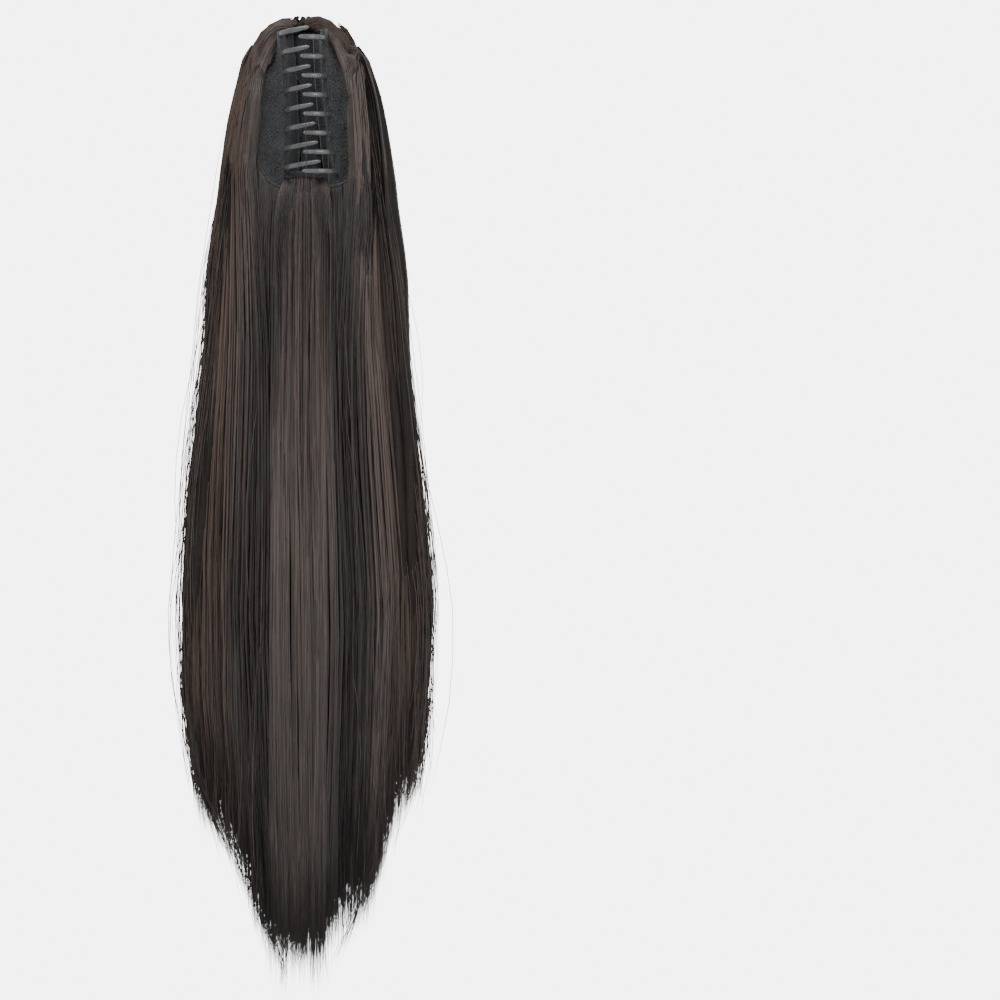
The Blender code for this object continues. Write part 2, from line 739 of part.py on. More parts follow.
def main():
    clear_scene()
    parts = new_collection("ponytail_hairpiece")
    cutters = new_collection("cutters", hidden=True)
    collections = (parts, cutters)

    plastic = new_material("smoke_plastic", (0.045, 0.045, 0.048), 0.25)
    steel = new_material("steel", (0.55, 0.55, 0.56), 0.30, 1.0)
    net = new_material("black_net", (0.030, 0.030, 0.032), 0.85)
    hair = new_material("dark_brown_hair", (0.060, 0.048, 0.043), 0.45)

    # The clip
    outer_z = SPRING_LENGTH / 2 + KNUCKLE_LENGTH + 2 * GAP
    inner_z = SPRING_LENGTH / 2 + GAP
    clip = [
        jaw("jaw_left", -1, TOOTH_STAGGER / 2 - TOOTH_DROP, outer_z, collections, plastic),
        jaw("jaw_right", 1, -TOOTH_STAGGER / 2 - TOOTH_DROP, inner_z, collections, plastic),
    ]
    pin_half = outer_z + KNUCKLE_LENGTH + LUG_LENGTH - GAP
    pin = upright_cylinder("hinge_pin", PIN_RADIUS, -pin_half, pin_half, 0.0, HINGE_Y, parts,
                           sides=16)
    pin.data.materials.append(steel)
    coil = spring("spring", collections, steel)
    cap = net_cap("net_cap", collections, net)
    for obj in [*clip, pin, coil, cap]:
        lean(obj)

    # The hair
    space = cap_space("cap_space", cutters)
    far = np.full(len(REGION_HEIGHTS), 3 * HAIR_HALF_SPREAD)
    left_line = parting_edges(-1)
    right_line = parting_edges(1)
    half_gap = GAP / 2
    fall("hair_outer_fall", OUTER_LOCKS, outer_span, 1, list(zip(-far, far)), collections, hair,
         space)
    fall("hair_left_fall", [(1 - 2 * p, t, e) for p, t, e in SIDE_LOCKS], side_span(-1), -1,
         list(zip(-far, left_line - half_gap)), collections, hair, space)
    fall("hair_right_fall", [(2 * p - 1, t, e) for p, t, e in SIDE_LOCKS], side_span(1), -1,
         list(zip(right_line + half_gap, far)), collections, hair, space)
    fall("hair_under_fall", UNDER_LOCKS, under_span, -1,
         list(zip(left_line + half_gap, right_line - half_gap)), collections, hair, space)


main()
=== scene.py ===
"""Looks of a long straight ponytail hairpiece on a toothed claw clip.

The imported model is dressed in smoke-grey plastic, steel, black net and combed hair. Lengths are
in metres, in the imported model's frame: the teeth point along -Y and the hair hangs along -Z.
"""

import bpy
import numpy as np
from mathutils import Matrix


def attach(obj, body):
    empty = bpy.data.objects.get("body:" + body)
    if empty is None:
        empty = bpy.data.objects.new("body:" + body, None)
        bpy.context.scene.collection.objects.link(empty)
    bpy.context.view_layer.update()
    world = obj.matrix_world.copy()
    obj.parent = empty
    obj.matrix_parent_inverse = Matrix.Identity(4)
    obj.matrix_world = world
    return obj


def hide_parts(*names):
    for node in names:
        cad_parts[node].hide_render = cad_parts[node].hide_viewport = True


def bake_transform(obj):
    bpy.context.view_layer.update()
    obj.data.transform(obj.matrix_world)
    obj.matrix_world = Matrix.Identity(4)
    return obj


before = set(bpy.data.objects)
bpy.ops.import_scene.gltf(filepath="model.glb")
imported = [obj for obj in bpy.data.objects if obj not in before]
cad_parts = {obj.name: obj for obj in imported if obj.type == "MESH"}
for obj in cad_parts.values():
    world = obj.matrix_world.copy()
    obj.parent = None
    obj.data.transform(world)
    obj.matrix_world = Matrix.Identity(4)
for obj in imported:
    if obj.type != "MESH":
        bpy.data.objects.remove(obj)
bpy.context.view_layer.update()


# The claw clip's two jaws, moulded in smoke-grey plastic. Each is a bowed plate whose eight teeth
# curl round to the front and pass between those of the other jaw. Two knuckles and a thumb lever
# are part of the same moulding.

MM = 0.001
CLIP_LEAN = np.radians(3.6)
HINGE_Y = 18.0 * MM
JAW_RADIUS = 12.9 * MM
JAW_FLARE = 4.2 * MM
JAW_WAIST_Z = 15.0 * MM
JAW_WALL = 2.4 * MM
PLATE_ANGLES = (np.radians(66), np.radians(-8))
PLATE_TAPER = 0.27
PLATE_TAPER_POWER = 1.2
PLATE_PAST_TEETH = 1.8 * MM
PLATE_EDGE_ROUND = 1.0 * MM
TEETH = 8
TOOTH_PITCH = 11.5 * MM
TOOTH_WIDTH = 3.2 * MM
TOOTH_WALL = 2.7 * MM
TOOTH_STAGGER = 3.65 * MM
# How far all the teeth lie below the middle of the clip
TOOTH_DROP = 1.4 * MM
# How far a tooth rises from root to tip, on the left jaw and on the right one
TOOTH_RISES = {-1: 2.8 * MM, 1: 1.2 * MM}
# How far past the middle each jaw's teeth reach, and how much of the jaw's flare adds to it
TOOTH_CROSSINGS = {-1: 4.2 * MM, 1: 1.8 * MM}
TOOTH_CROSSING_FLARE = 0.8
# Where a tooth starts on the bow and where it leaves it, in degrees, then how steeply it comes
# forwards after that and the share of its thickness that it loses towards the tip
TOOTH_ANGLES = (4, -68)
TOOTH_DIP = 0.30
TOOTH_TAPER = 0.30
PIN_RADIUS = 0.9 * MM
KNUCKLE_RADIUS = 2.9 * MM
KNUCKLE_LENGTH = 5.8 * MM
GAP = 0.3 * MM
SPRING_LENGTH = 15.4 * MM
LEVER_REACH = 21.5 * MM
LEVER_WIDTH = 27.0 * MM
LEVER_WALL = 2.2 * MM
LEVER_SPREAD = np.radians(27)
LEVER_CLEARANCE = 1.3 * MM
LEVER_ROOT_ANGLE = np.radians(52)
WEB_ANGLE = np.radians(58)
WEB_WALL = 2.2 * MM
WEB_INSET = 0.2 * MM


def rounded_square(sides, power):
    """A closed section from its lowest point round: the cosine and the sine of the turn, each
    with its sign kept and its size raised to 2 / power, so a higher power is squarer."""
    turn = np.linspace(-np.pi / 2, 1.5 * np.pi, sides, endpoint=False)
    cosine, sine = np.cos(turn), np.sin(turn)
    return (np.sign(cosine) * np.abs(cosine) ** (2 / power),
            np.sign(sine) * np.abs(sine) ** (2 / power))


def plan_normals(path):
    """Unit normals, seen in plan, of the way along a path: (x, y) turned a quarter."""
    along = np.gradient(path[:, :2], axis=0)
    along /= np.linalg.norm(along, axis=1)[:, None]
    return np.column_stack([-along[:, 1], along[:, 0], np.zeros(len(path))])


def upright_bar(path, half_walls, half_widths, sides=16, power=3.5):
    """A rounded section carried along a path: its wall lies along the plan normal, its width
    along Z, and both half sizes may change from station to station."""
    wall, width = rounded_square(sides, power)
    rings = path[:, None] + plan_normals(path)[:, None] * (half_walls[:, None] * wall)[..., None]
    rings[..., 2] += half_widths[:, None] * width
    return rings


def closed_shell(rings, endless=False):
    """Points, quads and triangles of a shell: each ring joins the next. Its two ends are closed
    by rungs between opposite points, or, when endless, its last ring joins its first."""
    count, sides = rings.shape[:2]
    side = np.arange(sides)
    after = np.roll(side, -1)
    low = np.arange(count if endless else count - 1)[:, None] * sides
    high = (low + sides) % (count * sides)
    quads = [np.stack([low + side, low + after, high + after, high + side], -1).reshape(-1, 4)]
    triangles = np.empty((0, 3), int)
    if not endless:
        half, last = sides // 2, (count - 1) * sides
        k = np.arange(1, half - 1)
        rungs = np.stack([k, sides - k, sides - k - 1, k + 1], -1)
        points = np.array([[0, sides - 1, 1], [half - 1, half + 1, half]])
        quads += [rungs, rungs[:, ::-1] + last]
        triangles = np.concatenate([points, points[:, ::-1] + last])
    return rings.reshape(-1, 3), np.concatenate(quads), triangles


def bare_mesh(name, points, quads, triangles):
    """A smooth-shaded mesh of quads and triangles, from whole arrays."""
    mesh = bpy.data.meshes.new(name)
    mesh.vertices.add(len(points))
    mesh.vertices.foreach_set("co", points.astype(np.float32).ravel())
    corners = np.concatenate([quads.ravel(), triangles.ravel()])
    mesh.loops.add(len(corners))
    mesh.loops.foreach_set("vertex_index", corners.astype(np.int32))
    firsts = np.concatenate([4 * np.arange(len(quads)), 4 * len(quads) + 3 * np.arange(len(triangles))])
    mesh.polygons.add(len(firsts))
    mesh.polygons.foreach_set("loop_start", firsts.astype(np.int32))
    mesh.polygons.foreach_set("use_smooth", np.ones(len(firsts), bool))
    return mesh


def make_piece(name, mesh, material, body, stands_for=()):
    """Puts a mesh at the origin as a piece that takes the place of the named nodes. It rides on
    the body it is given. When it is given two bodies with the place where it leaves the first and
    the place where it has reached the other, these are not used: its placing is baked in and it
    stays where it stands."""
    mesh.update(calc_edges=True)
    mesh.materials.append(material)
    obj = bpy.data.objects.new(name, mesh)
    bpy.context.scene.collection.objects.link(obj)
    if isinstance(body, str):
        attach(obj, body)
    else:
        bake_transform(obj)
    if stands_for:
        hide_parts(*stands_for)


def piece(name, shells, material, body, stands_for=()):
    """One piece from several closed shells, each turned so that the volume its faces enclose is
    positive."""
    points, quads, triangles, start = [], [], [], 0
    for shell_points, shell_quads, shell_triangles in shells:
        corners = shell_points[np.concatenate([shell_quads[:, [0, 1, 2]], shell_quads[:, [0, 2, 3]],
                                               shell_triangles])]
        if np.linalg.det(corners).sum() < 0:
            shell_quads, shell_triangles = shell_quads[:, ::-1], shell_triangles[:, ::-1]
        points.append(shell_points)
        quads.append(shell_quads + start)
        triangles.append(shell_triangles + start)
        start += len(shell_points)
    mesh = bare_mesh(name, *map(np.concatenate, (points, quads, triangles)))
    make_piece(name, mesh, material, body, stands_for)


def leaned(points):
    """The clip and cap lean: a turn about the Y axis through the origin."""
    x, y, z = np.moveaxis(points, -1, 0)
    cosine, sine = np.cos(CLIP_LEAN), np.sin(CLIP_LEAN)
    return np.stack([x * cosine - z * sine, y, x * sine + z * cosine], -1)


def jaw_bow(angle, z):
    """A point on the middle of the right jaw's wall: a circle in plan, whose radius grows with
    the square of the height above or below the waist."""
    reach = TEETH * TOOTH_PITCH / 2 + JAW_WAIST_Z
    radius = JAW_RADIUS + JAW_FLARE * ((z - JAW_WAIST_Z) / reach) ** 2
    return np.stack(np.broadcast_arrays(radius * np.cos(angle), radius * np.sin(angle), z), -1)


def eased(path, rounds=3):
    """A path whose inner points are each pulled half way to the middle of their neighbours."""
    for _ in range(rounds):
        path[1:-1] = path[1:-1] / 2 + (path[:-2] + path[2:]) / 4
    return path


def tooth_rings(side, root_z):
    """A tooth: it follows the bow to the front, crosses the middle while it comes forwards, and
    ends in a quarter of an ellipse."""
    bow = jaw_bow(np.radians(np.linspace(*TOOTH_ANGLES, 15)), np.full(15, root_z))
    flare = np.hypot(*bow[0, :2]) - JAW_RADIUS
    x = np.linspace(bow[-1, 0], -TOOTH_CROSSINGS[side] - TOOTH_CROSSING_FLARE * flare, 12)[1:]
    crossing = np.column_stack([x, bow[-1, 1] - TOOTH_DIP * (bow[-1, 0] - x), np.full(11, root_z)])
    path = eased(np.concatenate([bow, crossing]))
    share = np.linspace(0, 1, len(path))
    path[:, 2] += TOOTH_RISES[side] * share
    path[:, 0] *= side
    taper = 1 - TOOTH_TAPER * np.clip((share - 0.6) / 0.4, 0, 1) ** 1.5
    taper = taper * np.sqrt(np.clip(1 - np.clip((share - 0.92) / 0.081, 0, 1) ** 2, 0.01, 1))
    return upright_bar(path, TOOTH_WALL / 2 * taper, TOOTH_WIDTH / 2 * taper)


def plate_rings(side, centre_z):
    """The plate: an upright rounded section carried round the bow. It follows the jaw's flare at
    every height, and gets shorter towards the hinge."""
    wall, width = rounded_square(48, 7.0)
    angle = np.linspace(*PLATE_ANGLES, 22)[:, None]
    half = (TEETH - 1) / 2 * TOOTH_PITCH + PLATE_PAST_TEETH
    length = half * (1 - PLATE_TAPER * np.clip(np.sin(angle), 0, 1) ** PLATE_TAPER_POWER)
    edge = np.minimum(angle.max() - angle, angle - angle.min()) * JAW_RADIUS
    thin = np.sqrt(np.clip(1 - (1 - np.clip(edge / PLATE_EDGE_ROUND, 0, 1)) ** 2, 0.04, 1))
    z = centre_z + (length - PLATE_EDGE_ROUND * (1 - thin)) * width
    rings = jaw_bow(angle, z)
    outward = JAW_WALL / 2 * thin * wall
    rings[..., 0] += outward * np.cos(angle)
    rings[..., 1] += outward * np.sin(angle)
    rings[..., 0] *= side
    return rings


def lever_rings(side):
    """The thumb lever: it leaves the plate's back edge, passes beside the hinge and slants away."""
    plate = jaw_bow(LEVER_ROOT_ANGLE, np.array(0.0))
    clear = KNUCKLE_RADIUS + LEVER_WALL / 2 + LEVER_CLEARANCE
    radius = np.array([clear, clear, LEVER_REACH * 0.55, LEVER_REACH])
    angle = np.array([np.radians(112), np.radians(72), LEVER_SPREAD * 1.12, LEVER_SPREAD])
    x = np.concatenate([[plate[0]], radius * np.sin(angle)])
    y = np.concatenate([[plate[1]], HINGE_Y + radius * np.cos(angle)])
    steps = np.linspace(0, len(x) - 1, 29)
    stops = np.arange(len(x))
    path = np.column_stack([side * np.interp(steps, stops, x), np.interp(steps, stops, y),
                            np.zeros(29)])
    path = eased(path, 4)
    tip = np.clip((steps - 3.2) / 0.8, 0, 1)
    width = LEVER_WIDTH / 2 * np.sqrt(np.clip(1 - 0.6 * tip ** 3, 0, 1))
    wall = LEVER_WALL / 2 * np.sqrt(np.clip(1 - 0.8 * tip ** 8, 0, 1))
    return upright_bar(path, wall, width, sides=32, power=6.0)


def knuckle_rings(middle_z, inner, outer, length):
    """A ring round the hinge pin: a rounded section turned about the pin, from bore to outside."""
    wall, width = rounded_square(16, 5.0)
    turn = np.linspace(0, 2 * np.pi, 40, endpoint=False)[:, None]
    radius = (inner + outer) / 2 + (outer - inner) / 2 * wall
    return np.stack(np.broadcast_arrays(radius * np.cos(turn), HINGE_Y + radius * np.sin(turn),
                                        middle_z + length / 2 * width), -1)


def web_rings(side, middle_z):
    """The web that joins a knuckle to the plate."""
    end = jaw_bow(WEB_ANGLE, np.array(middle_z))
    start = np.array([(PIN_RADIUS + KNUCKLE_RADIUS) / 2, HINGE_Y - PIN_RADIUS, middle_z])
    path = start + (end - start) * np.linspace(0, 1, 6)[:, None]
    path[:, 0] *= side
    return upright_bar(path, np.full(6, WEB_WALL / 2), np.full(6, KNUCKLE_LENGTH / 2 - WEB_INSET),
                       sides=16, power=5.0)


def fine_noise(tree, scale, stretch, detail, source):
    """A noise read from Object coordinates, stretched by its own scale on each axis."""
    mapping = tree.nodes.new("ShaderNodeMapping")
    mapping.inputs["Scale"].default_value = stretch
    noise = tree.nodes.new("ShaderNodeTexNoise")
    noise.inputs["Scale"].default_value = scale
    noise.inputs["Detail"].default_value = detail
    tree.links.new(source, mapping.inputs["Vector"])
    tree.links.new(mapping.outputs["Vector"], noise.inputs["Vector"])
    return noise.outputs["Fac"]


def new_material(name):
    """A material with its Principled shader, and the Object coordinates that patterns read."""
    material = bpy.data.materials.new(name)
    material.use_nodes = True
    tree = material.node_tree
    coordinates = tree.nodes.new("ShaderNodeTexCoord").outputs["Object"]
    return material, tree, tree.nodes["Principled BSDF"], coordinates


def ramp(tree, source, stops):
    """A colour ramp through (place, colour) stops."""
    node = tree.nodes.new("ShaderNodeValToRGB")
    marks = node.color_ramp.elements
    while len(marks) < len(stops):
        marks.new(0.5)
    for mark, (place, colour) in zip(marks, stops):
        mark.position = place
        mark.color = (*colour, 1.0)
    tree.links.new(source, node.inputs["Fac"])
    return node.outputs["Color"]


def spread(tree, source, low, high, near=0.3, far=0.7):
    """Carries a value from the span near..far to low..high."""
    node = tree.nodes.new("ShaderNodeMapRange")
    node.inputs["From Min"].default_value = near
    node.inputs["From Max"].default_value = far
    node.inputs["To Min"].default_value = low
    node.inputs["To Max"].default_value = high
    tree.links.new(source, node.inputs["Value"])
    return node.outputs["Result"]


def calculated(tree, operation, *values):
    """A math node over sockets and plain numbers."""
    node = tree.nodes.new("ShaderNodeMath")
    node.operation = operation
    for value, socket in zip(values, node.inputs):
        if isinstance(value, float):
            socket.default_value = value
        else:
            tree.links.new(value, socket)
    return node.outputs[0]


def new_group(name, takes, gives):
    """A shader group with the sockets that it takes and gives, each a name with its kind."""
    group = bpy.data.node_groups.new(name, "ShaderNodeTree")
    for sockets, way in ((takes, "INPUT"), (gives, "OUTPUT")):
        for socket, kind in sockets.items():
            group.interface.new_socket(socket, in_out=way, socket_type="NodeSocket" + kind)
    into = group.nodes.new("NodeGroupInput")
    out = group.nodes.new("NodeGroupOutput")
    return group, into.outputs, out.inputs


def bump(tree, height, shader, strength, distance):
    """Gives a shader the bump of a height."""
    node = tree.nodes.new("ShaderNodeBump")
    node.inputs["Strength"].default_value = strength
    node.inputs["Distance"].default_value = distance
    tree.links.new(height, node.inputs["Height"])
    tree.links.new(node.outputs["Normal"], shader.inputs["Normal"])


def smoke_plastic():
    """Glossy smoke-grey plastic: cloudy flow marks in its colour, and handling marks that change
    its roughness."""
    material, tree, shader, place = new_material("smoke_plastic")
    cloud = fine_noise(tree, 90.0, (1.0, 1.0, 1.6), 3.0, place)
    tree.links.new(ramp(tree, cloud, ((0.3, (0.040, 0.043, 0.046)), (0.7, (0.080, 0.084, 0.088)))),
                   shader.inputs["Base Color"])
    marks = fine_noise(tree, 900.0, (1.0, 1.0, 0.3), 4.0, place)
    tree.links.new(spread(tree, marks, 0.16, 0.34), shader.inputs["Roughness"])
    bump(tree, marks, shader, 0.10, 0.05 * MM)
    shader.inputs["Coat Weight"].default_value = 0.6
    shader.inputs["Coat Roughness"].default_value = 0.12
    shader.inputs["Subsurface Weight"].default_value = 0.15
    shader.inputs["Subsurface Scale"].default_value = 2.0 * MM
    return material


plastic = smoke_plastic()
for jaw, side, centre_z, inner_z in (
    ("left_jaw", -1, TOOTH_STAGGER / 2 - TOOTH_DROP, SPRING_LENGTH / 2 + KNUCKLE_LENGTH + 2 * GAP),
    ("right_jaw", 1, -TOOTH_STAGGER / 2 - TOOTH_DROP, SPRING_LENGTH / 2 + GAP),
):
    rings = [plate_rings(side, centre_z), lever_rings(side)]
    rings += [tooth_rings(side, centre_z + ((TEETH - 1) / 2 - k) * TOOTH_PITCH) for k in range(TEETH)]
    shells = [closed_shell(leaned(r)) for r in rings]
    for middle_z in (inner_z + KNUCKLE_LENGTH / 2, -inner_z - KNUCKLE_LENGTH / 2):
        ring = knuckle_rings(middle_z, PIN_RADIUS + GAP, KNUCKLE_RADIUS, KNUCKLE_LENGTH)
        shells.append(closed_shell(leaned(ring), endless=True))
        shells.append(closed_shell(leaned(web_rings(side, middle_z))))
    piece(jaw + "_moulding", shells, plastic, jaw,
          ["jaw_left" if side < 0 else "jaw_right"])


# The hinge: a drawn steel pin, and a coil spring wound round it between the knuckles. The coil
# stays on the pin, and each of its two legs lies inside a thumb lever and turns with it.

SPRING_WIRE = 0.9 * MM
SPRING_TURNS = 5


def steel_wire():
    """Drawn steel: fine lengthwise lines in its roughness and bump, and a faint dull bloom."""
    material, tree, shader, place = new_material("steel_wire")
    lines = fine_noise(tree, 1500.0, (1.0, 1.0, 0.04), 3.0, place)
    bloom = fine_noise(tree, 220.0, (1.0, 1.0, 1.0), 3.0, place)
    tree.links.new(ramp(tree, bloom, ((0.3, (0.36, 0.36, 0.37)), (0.7, (0.55, 0.55, 0.56)))),
                   shader.inputs["Base Color"])
    tree.links.new(spread(tree, lines, 0.22, 0.42), shader.inputs["Roughness"])
    bump(tree, lines, shader, 0.15, 0.03 * MM)
    shader.inputs["Metallic"].default_value = 1.0
    return material


def wire_rings(path, radius, sides=10):
    """A round wire carried along a path: its section stands across the way along it."""
    along = np.gradient(path, axis=0)
    along /= np.linalg.norm(along, axis=1)[:, None]
    across = np.cross(along, (0.02, 0.01, 1.0))
    across /= np.linalg.norm(across, axis=1)[:, None]
    third = np.cross(along, across)
    turn = np.linspace(0, 2 * np.pi, sides, endpoint=False)
    return path[:, None] + radius * (np.cos(turn)[:, None] * across[:, None]
                                     + np.sin(turn)[:, None] * third[:, None])


steel = steel_wire()
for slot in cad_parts["hinge_pin"].material_slots:
    slot.material = steel

coil_radius = PIN_RADIUS + SPRING_WIRE / 2 + GAP
coil_half = SPRING_LENGTH / 2 - SPRING_WIRE
share = np.linspace(0, 1, 24 * SPRING_TURNS)
turn = np.pi + (2 * SPRING_TURNS - 1) * np.pi * share
coil = np.column_stack([coil_radius * np.cos(turn), HINGE_Y + coil_radius * np.sin(turn),
                        coil_half * (1 - 2 * share)])
piece("spring_coil", [closed_shell(leaned(wire_rings(coil, SPRING_WIRE / 2)))], steel, "root",
      ["spring"])
leg_x = KNUCKLE_RADIUS + LEVER_CLEARANCE - SPRING_WIRE / 2 - GAP
for jaw, side in (("left_jaw", -1), ("right_jaw", 1)):
    step = np.linspace(0, 1, 14)
    leg = np.column_stack([side * (coil_radius + (leg_x - coil_radius) * step ** 1.5),
                           HINGE_Y + LEVER_REACH * 0.45 * step, np.full(14, -side * coil_half)])
    piece("spring_leg_" + jaw, [closed_shell(leaned(wire_rings(leg, SPRING_WIRE / 2)))], steel, jaw)


# The net cap: a hollow oval bowl of black knitted net that the hair's wefts are sewn to. A bound
# elastic edge runs round its rim, and two sewn loops inside it hold the ends of the hinge pin.

CAP_WALL = 1.5 * MM
CAP_HALF_WIDTH = 31.9 * MM
CAP_TOP = 47.5 * MM
CAP_BOTTOM = 53.5 * MM
CAP_RIM_FRONT = 8.0 * MM
CAP_RIM_SETBACK = 19.0 * MM
CAP_BACK_Y = 43.5 * MM
CAP_EGG = 0.09
CAP_OUTLINE_POWER = 3.6
CAP_DEPTH_POWER = 3.2
CAP_MIDDLE_Z = (CAP_TOP - CAP_BOTTOM) / 2
CAP_HALF_HEIGHT = (CAP_TOP + CAP_BOTTOM) / 2
dice = np.random.default_rng(27)


def rim_y(z):
    """The rim is level in front, and steps smoothly back above the jaws."""
    share = np.clip((z - 0.24 * CAP_TOP) / (0.5 * CAP_TOP), 0, 1)
    return -CAP_RIM_FRONT + CAP_RIM_SETBACK * share * share * (3 - 2 * share)


def cap_surface(angle, turn, grow=0.0):
    """The bowl as a function of the angle round it, from +Z towards +X, and of the turn from the
    middle of its back, 0, to its rim, a right angle. Both its outline and its depth are rounded
    squares, so the rim narrows a little to the top."""
    up = np.sign(np.cos(angle)) * np.abs(np.cos(angle)) ** (2 / CAP_OUTLINE_POWER)
    out = np.sign(np.sin(angle)) * np.abs(np.sin(angle)) ** (2 / CAP_OUTLINE_POWER)
    reach = np.abs(np.sin(turn)) ** (2 / CAP_DEPTH_POWER)
    depth = np.clip(np.cos(turn), 0, 1) ** (2 / CAP_DEPTH_POWER)
    x = (CAP_HALF_WIDTH + grow) * out * (1 - CAP_EGG * up) * reach
    rim_z = CAP_MIDDLE_Z + (CAP_HALF_HEIGHT + grow) * up
    z = CAP_MIDDLE_Z + (rim_z - CAP_MIDDLE_Z) * reach
    front = rim_y(rim_z)
    return np.stack(np.broadcast_arrays(x, front + (CAP_BACK_Y + grow - front) * depth, z), -1)


def clear_of_cap(points, grow, mouth=1.0):
    """Points inside the bowl move straight away from its middle until they lie on a bowl that is
    larger by grow. Points in front of its mouth do so until they are the mouth's share of the way
    out to its rim."""
    x, y, z = np.moveaxis(points, -1, 0)
    cosine, sine = np.cos(CLIP_LEAN), np.sin(CLIP_LEAN)
    x, z = x * cosine + z * sine, z * cosine - x * sine
    up = np.clip((z - CAP_MIDDLE_Z) / (CAP_HALF_HEIGHT + grow), -1, 1)
    across = np.abs(x) / ((CAP_HALF_WIDTH + grow) * (1 - CAP_EGG * up))
    tall = np.abs(z - CAP_MIDDLE_Z) / (CAP_HALF_HEIGHT + grow)
    outline = (across ** CAP_OUTLINE_POWER + tall ** CAP_OUTLINE_POWER) ** (1 / CAP_OUTLINE_POWER)
    front = rim_y(z)
    deep = np.clip((y - front) / (CAP_BACK_Y + grow - front), 0, None)
    size = (outline ** CAP_DEPTH_POWER + deep ** CAP_DEPTH_POWER) ** (1 / CAP_DEPTH_POWER)
    # The rim itself stays covered by what lies in front of it
    limit = np.where(y < front - 1.5 * MM, mouth, 1.0)
    push = np.maximum(1, limit / np.clip(size, 0.2, None))
    x = x * push
    z = CAP_MIDDLE_Z + (z - CAP_MIDDLE_Z) * push
    y = np.where(y > front, front + (y - front) * push, y)
    return np.stack([x * cosine - z * sine, y, x * sine + z * cosine], -1)


def knit_group():
    """A shader group for knitted net: crossing diagonal threads with a hole in each diamond. It
    gives the threads as a mask and as a height."""
    group, taken, given = new_group("knit", {"Vector": "Vector", "Scale": "Float"},
                                    {"Threads": "Float"})
    scaled = group.nodes.new("ShaderNodeVectorMath")
    scaled.operation = "SCALE"
    group.links.new(taken["Vector"], scaled.inputs[0])
    group.links.new(taken["Scale"], scaled.inputs["Scale"])
    parts = group.nodes.new("ShaderNodeSeparateXYZ")
    group.links.new(scaled.outputs["Vector"], parts.inputs["Vector"])
    level = calculated(group, "ADD", parts.outputs["X"], parts.outputs["Y"])
    masks = []
    for operation in ("ADD", "SUBTRACT"):
        slant = calculated(group, operation, level, parts.outputs["Z"])
        wave = calculated(group, "SINE", slant)
        masks.append(spread(group, wave, 0.0, 1.0, near=0.1, far=0.9))
    group.links.new(calculated(group, "MAXIMUM", *masks), given["Threads"])
    return group


def net_cloth(name, dark, light, scale, knit):
    """Black knitted net: the knit's threads over darker holes, with lint that lightens it."""
    material, tree, shader, place = new_material(name)
    threads = tree.nodes.new("ShaderNodeGroup")
    threads.node_tree = knit
    threads.inputs["Scale"].default_value = scale
    tree.links.new(place, threads.inputs["Vector"])
    lint = fine_noise(tree, 160.0, (1.0, 1.0, 1.0), 5.0, place)
    both = calculated(tree, "MULTIPLY_ADD", threads.outputs["Threads"], 0.6,
                      spread(tree, lint, 0.0, 0.4))
    tree.links.new(ramp(tree, both, ((0.0, dark), (1.0, light))), shader.inputs["Base Color"])
    tree.links.new(spread(tree, lint, 0.70, 0.95), shader.inputs["Roughness"])
    bump(tree, threads.outputs["Threads"], shader, 0.7, 0.25 * MM)
    shader.inputs["Sheen Weight"].default_value = 0.25
    shader.inputs["Sheen Roughness"].default_value = 0.5
    return material


knit = knit_group()
net = net_cloth("black_net", (0.008, 0.009, 0.010), (0.030, 0.032, 0.036), 2400.0, knit)
binding = net_cloth("rim_binding", (0.006, 0.007, 0.008), (0.020, 0.022, 0.024), 5200.0, knit)

round_the_cap = np.linspace(0, 2 * np.pi, 96, endpoint=False)
turns = np.radians(np.concatenate([[0.5], np.linspace(6, 90, 26)]))[:, None]
ripple = 0.25 * MM * np.sin(26 * round_the_cap) * np.sin(turns) ** 2
outside = cap_surface(round_the_cap, turns)
inside = cap_surface(round_the_cap, turns[::-1], -CAP_WALL)
inside[..., 1] += ripple[::-1]
pin_end = 2 * KNUCKLE_LENGTH + SPRING_LENGTH / 2 + 3 * GAP
shells = [closed_shell(leaned(np.concatenate([outside, inside])))]
for sign in (-1, 1):
    z = sign * (pin_end + 2.0 * MM)
    loop = knuckle_rings(z, PIN_RADIUS + GAP, 2.8 * MM, 3.6 * MM)
    shells.append(closed_shell(leaned(loop), endless=True))
    tape = np.column_stack([np.zeros(6), np.linspace(HINGE_Y + 2.2 * MM, CAP_BACK_Y - 0.6 * MM, 6),
                            np.full(6, z)])
    shells.append(closed_shell(leaned(upright_bar(tape, np.full(6, 1.6 * MM), np.full(6, 1.8 * MM)))))
piece("net_cap_bowl", shells, net, "root", ["net_cap"])

rim_turn = np.linspace(0, 2 * np.pi, 240, endpoint=False)
rim = cap_surface(rim_turn, np.radians(90), -CAP_WALL / 2)
rim[:, 1] += 0.5 * MM * np.sin(34 * rim_turn)
along = np.roll(rim, -1, 0) - np.roll(rim, 1, 0)
along /= np.linalg.norm(along, axis=1)[:, None]
forward = np.array([0.0, -1.0, 0.0]) - along * -along[:, 1:2]
sideways = np.cross(along, forward)
wall, width = rounded_square(12, 2.2)
swell = 1.2 * MM * (1 + 0.18 * np.sin(68 * rim_turn))[:, None, None]
band = rim[:, None] + swell * (1.25 * wall[:, None] * forward[:, None]
                               + width[:, None] * sideways[:, None])
piece("net_cap_rim", [closed_shell(leaned(band), endless=True)], binding, "root")
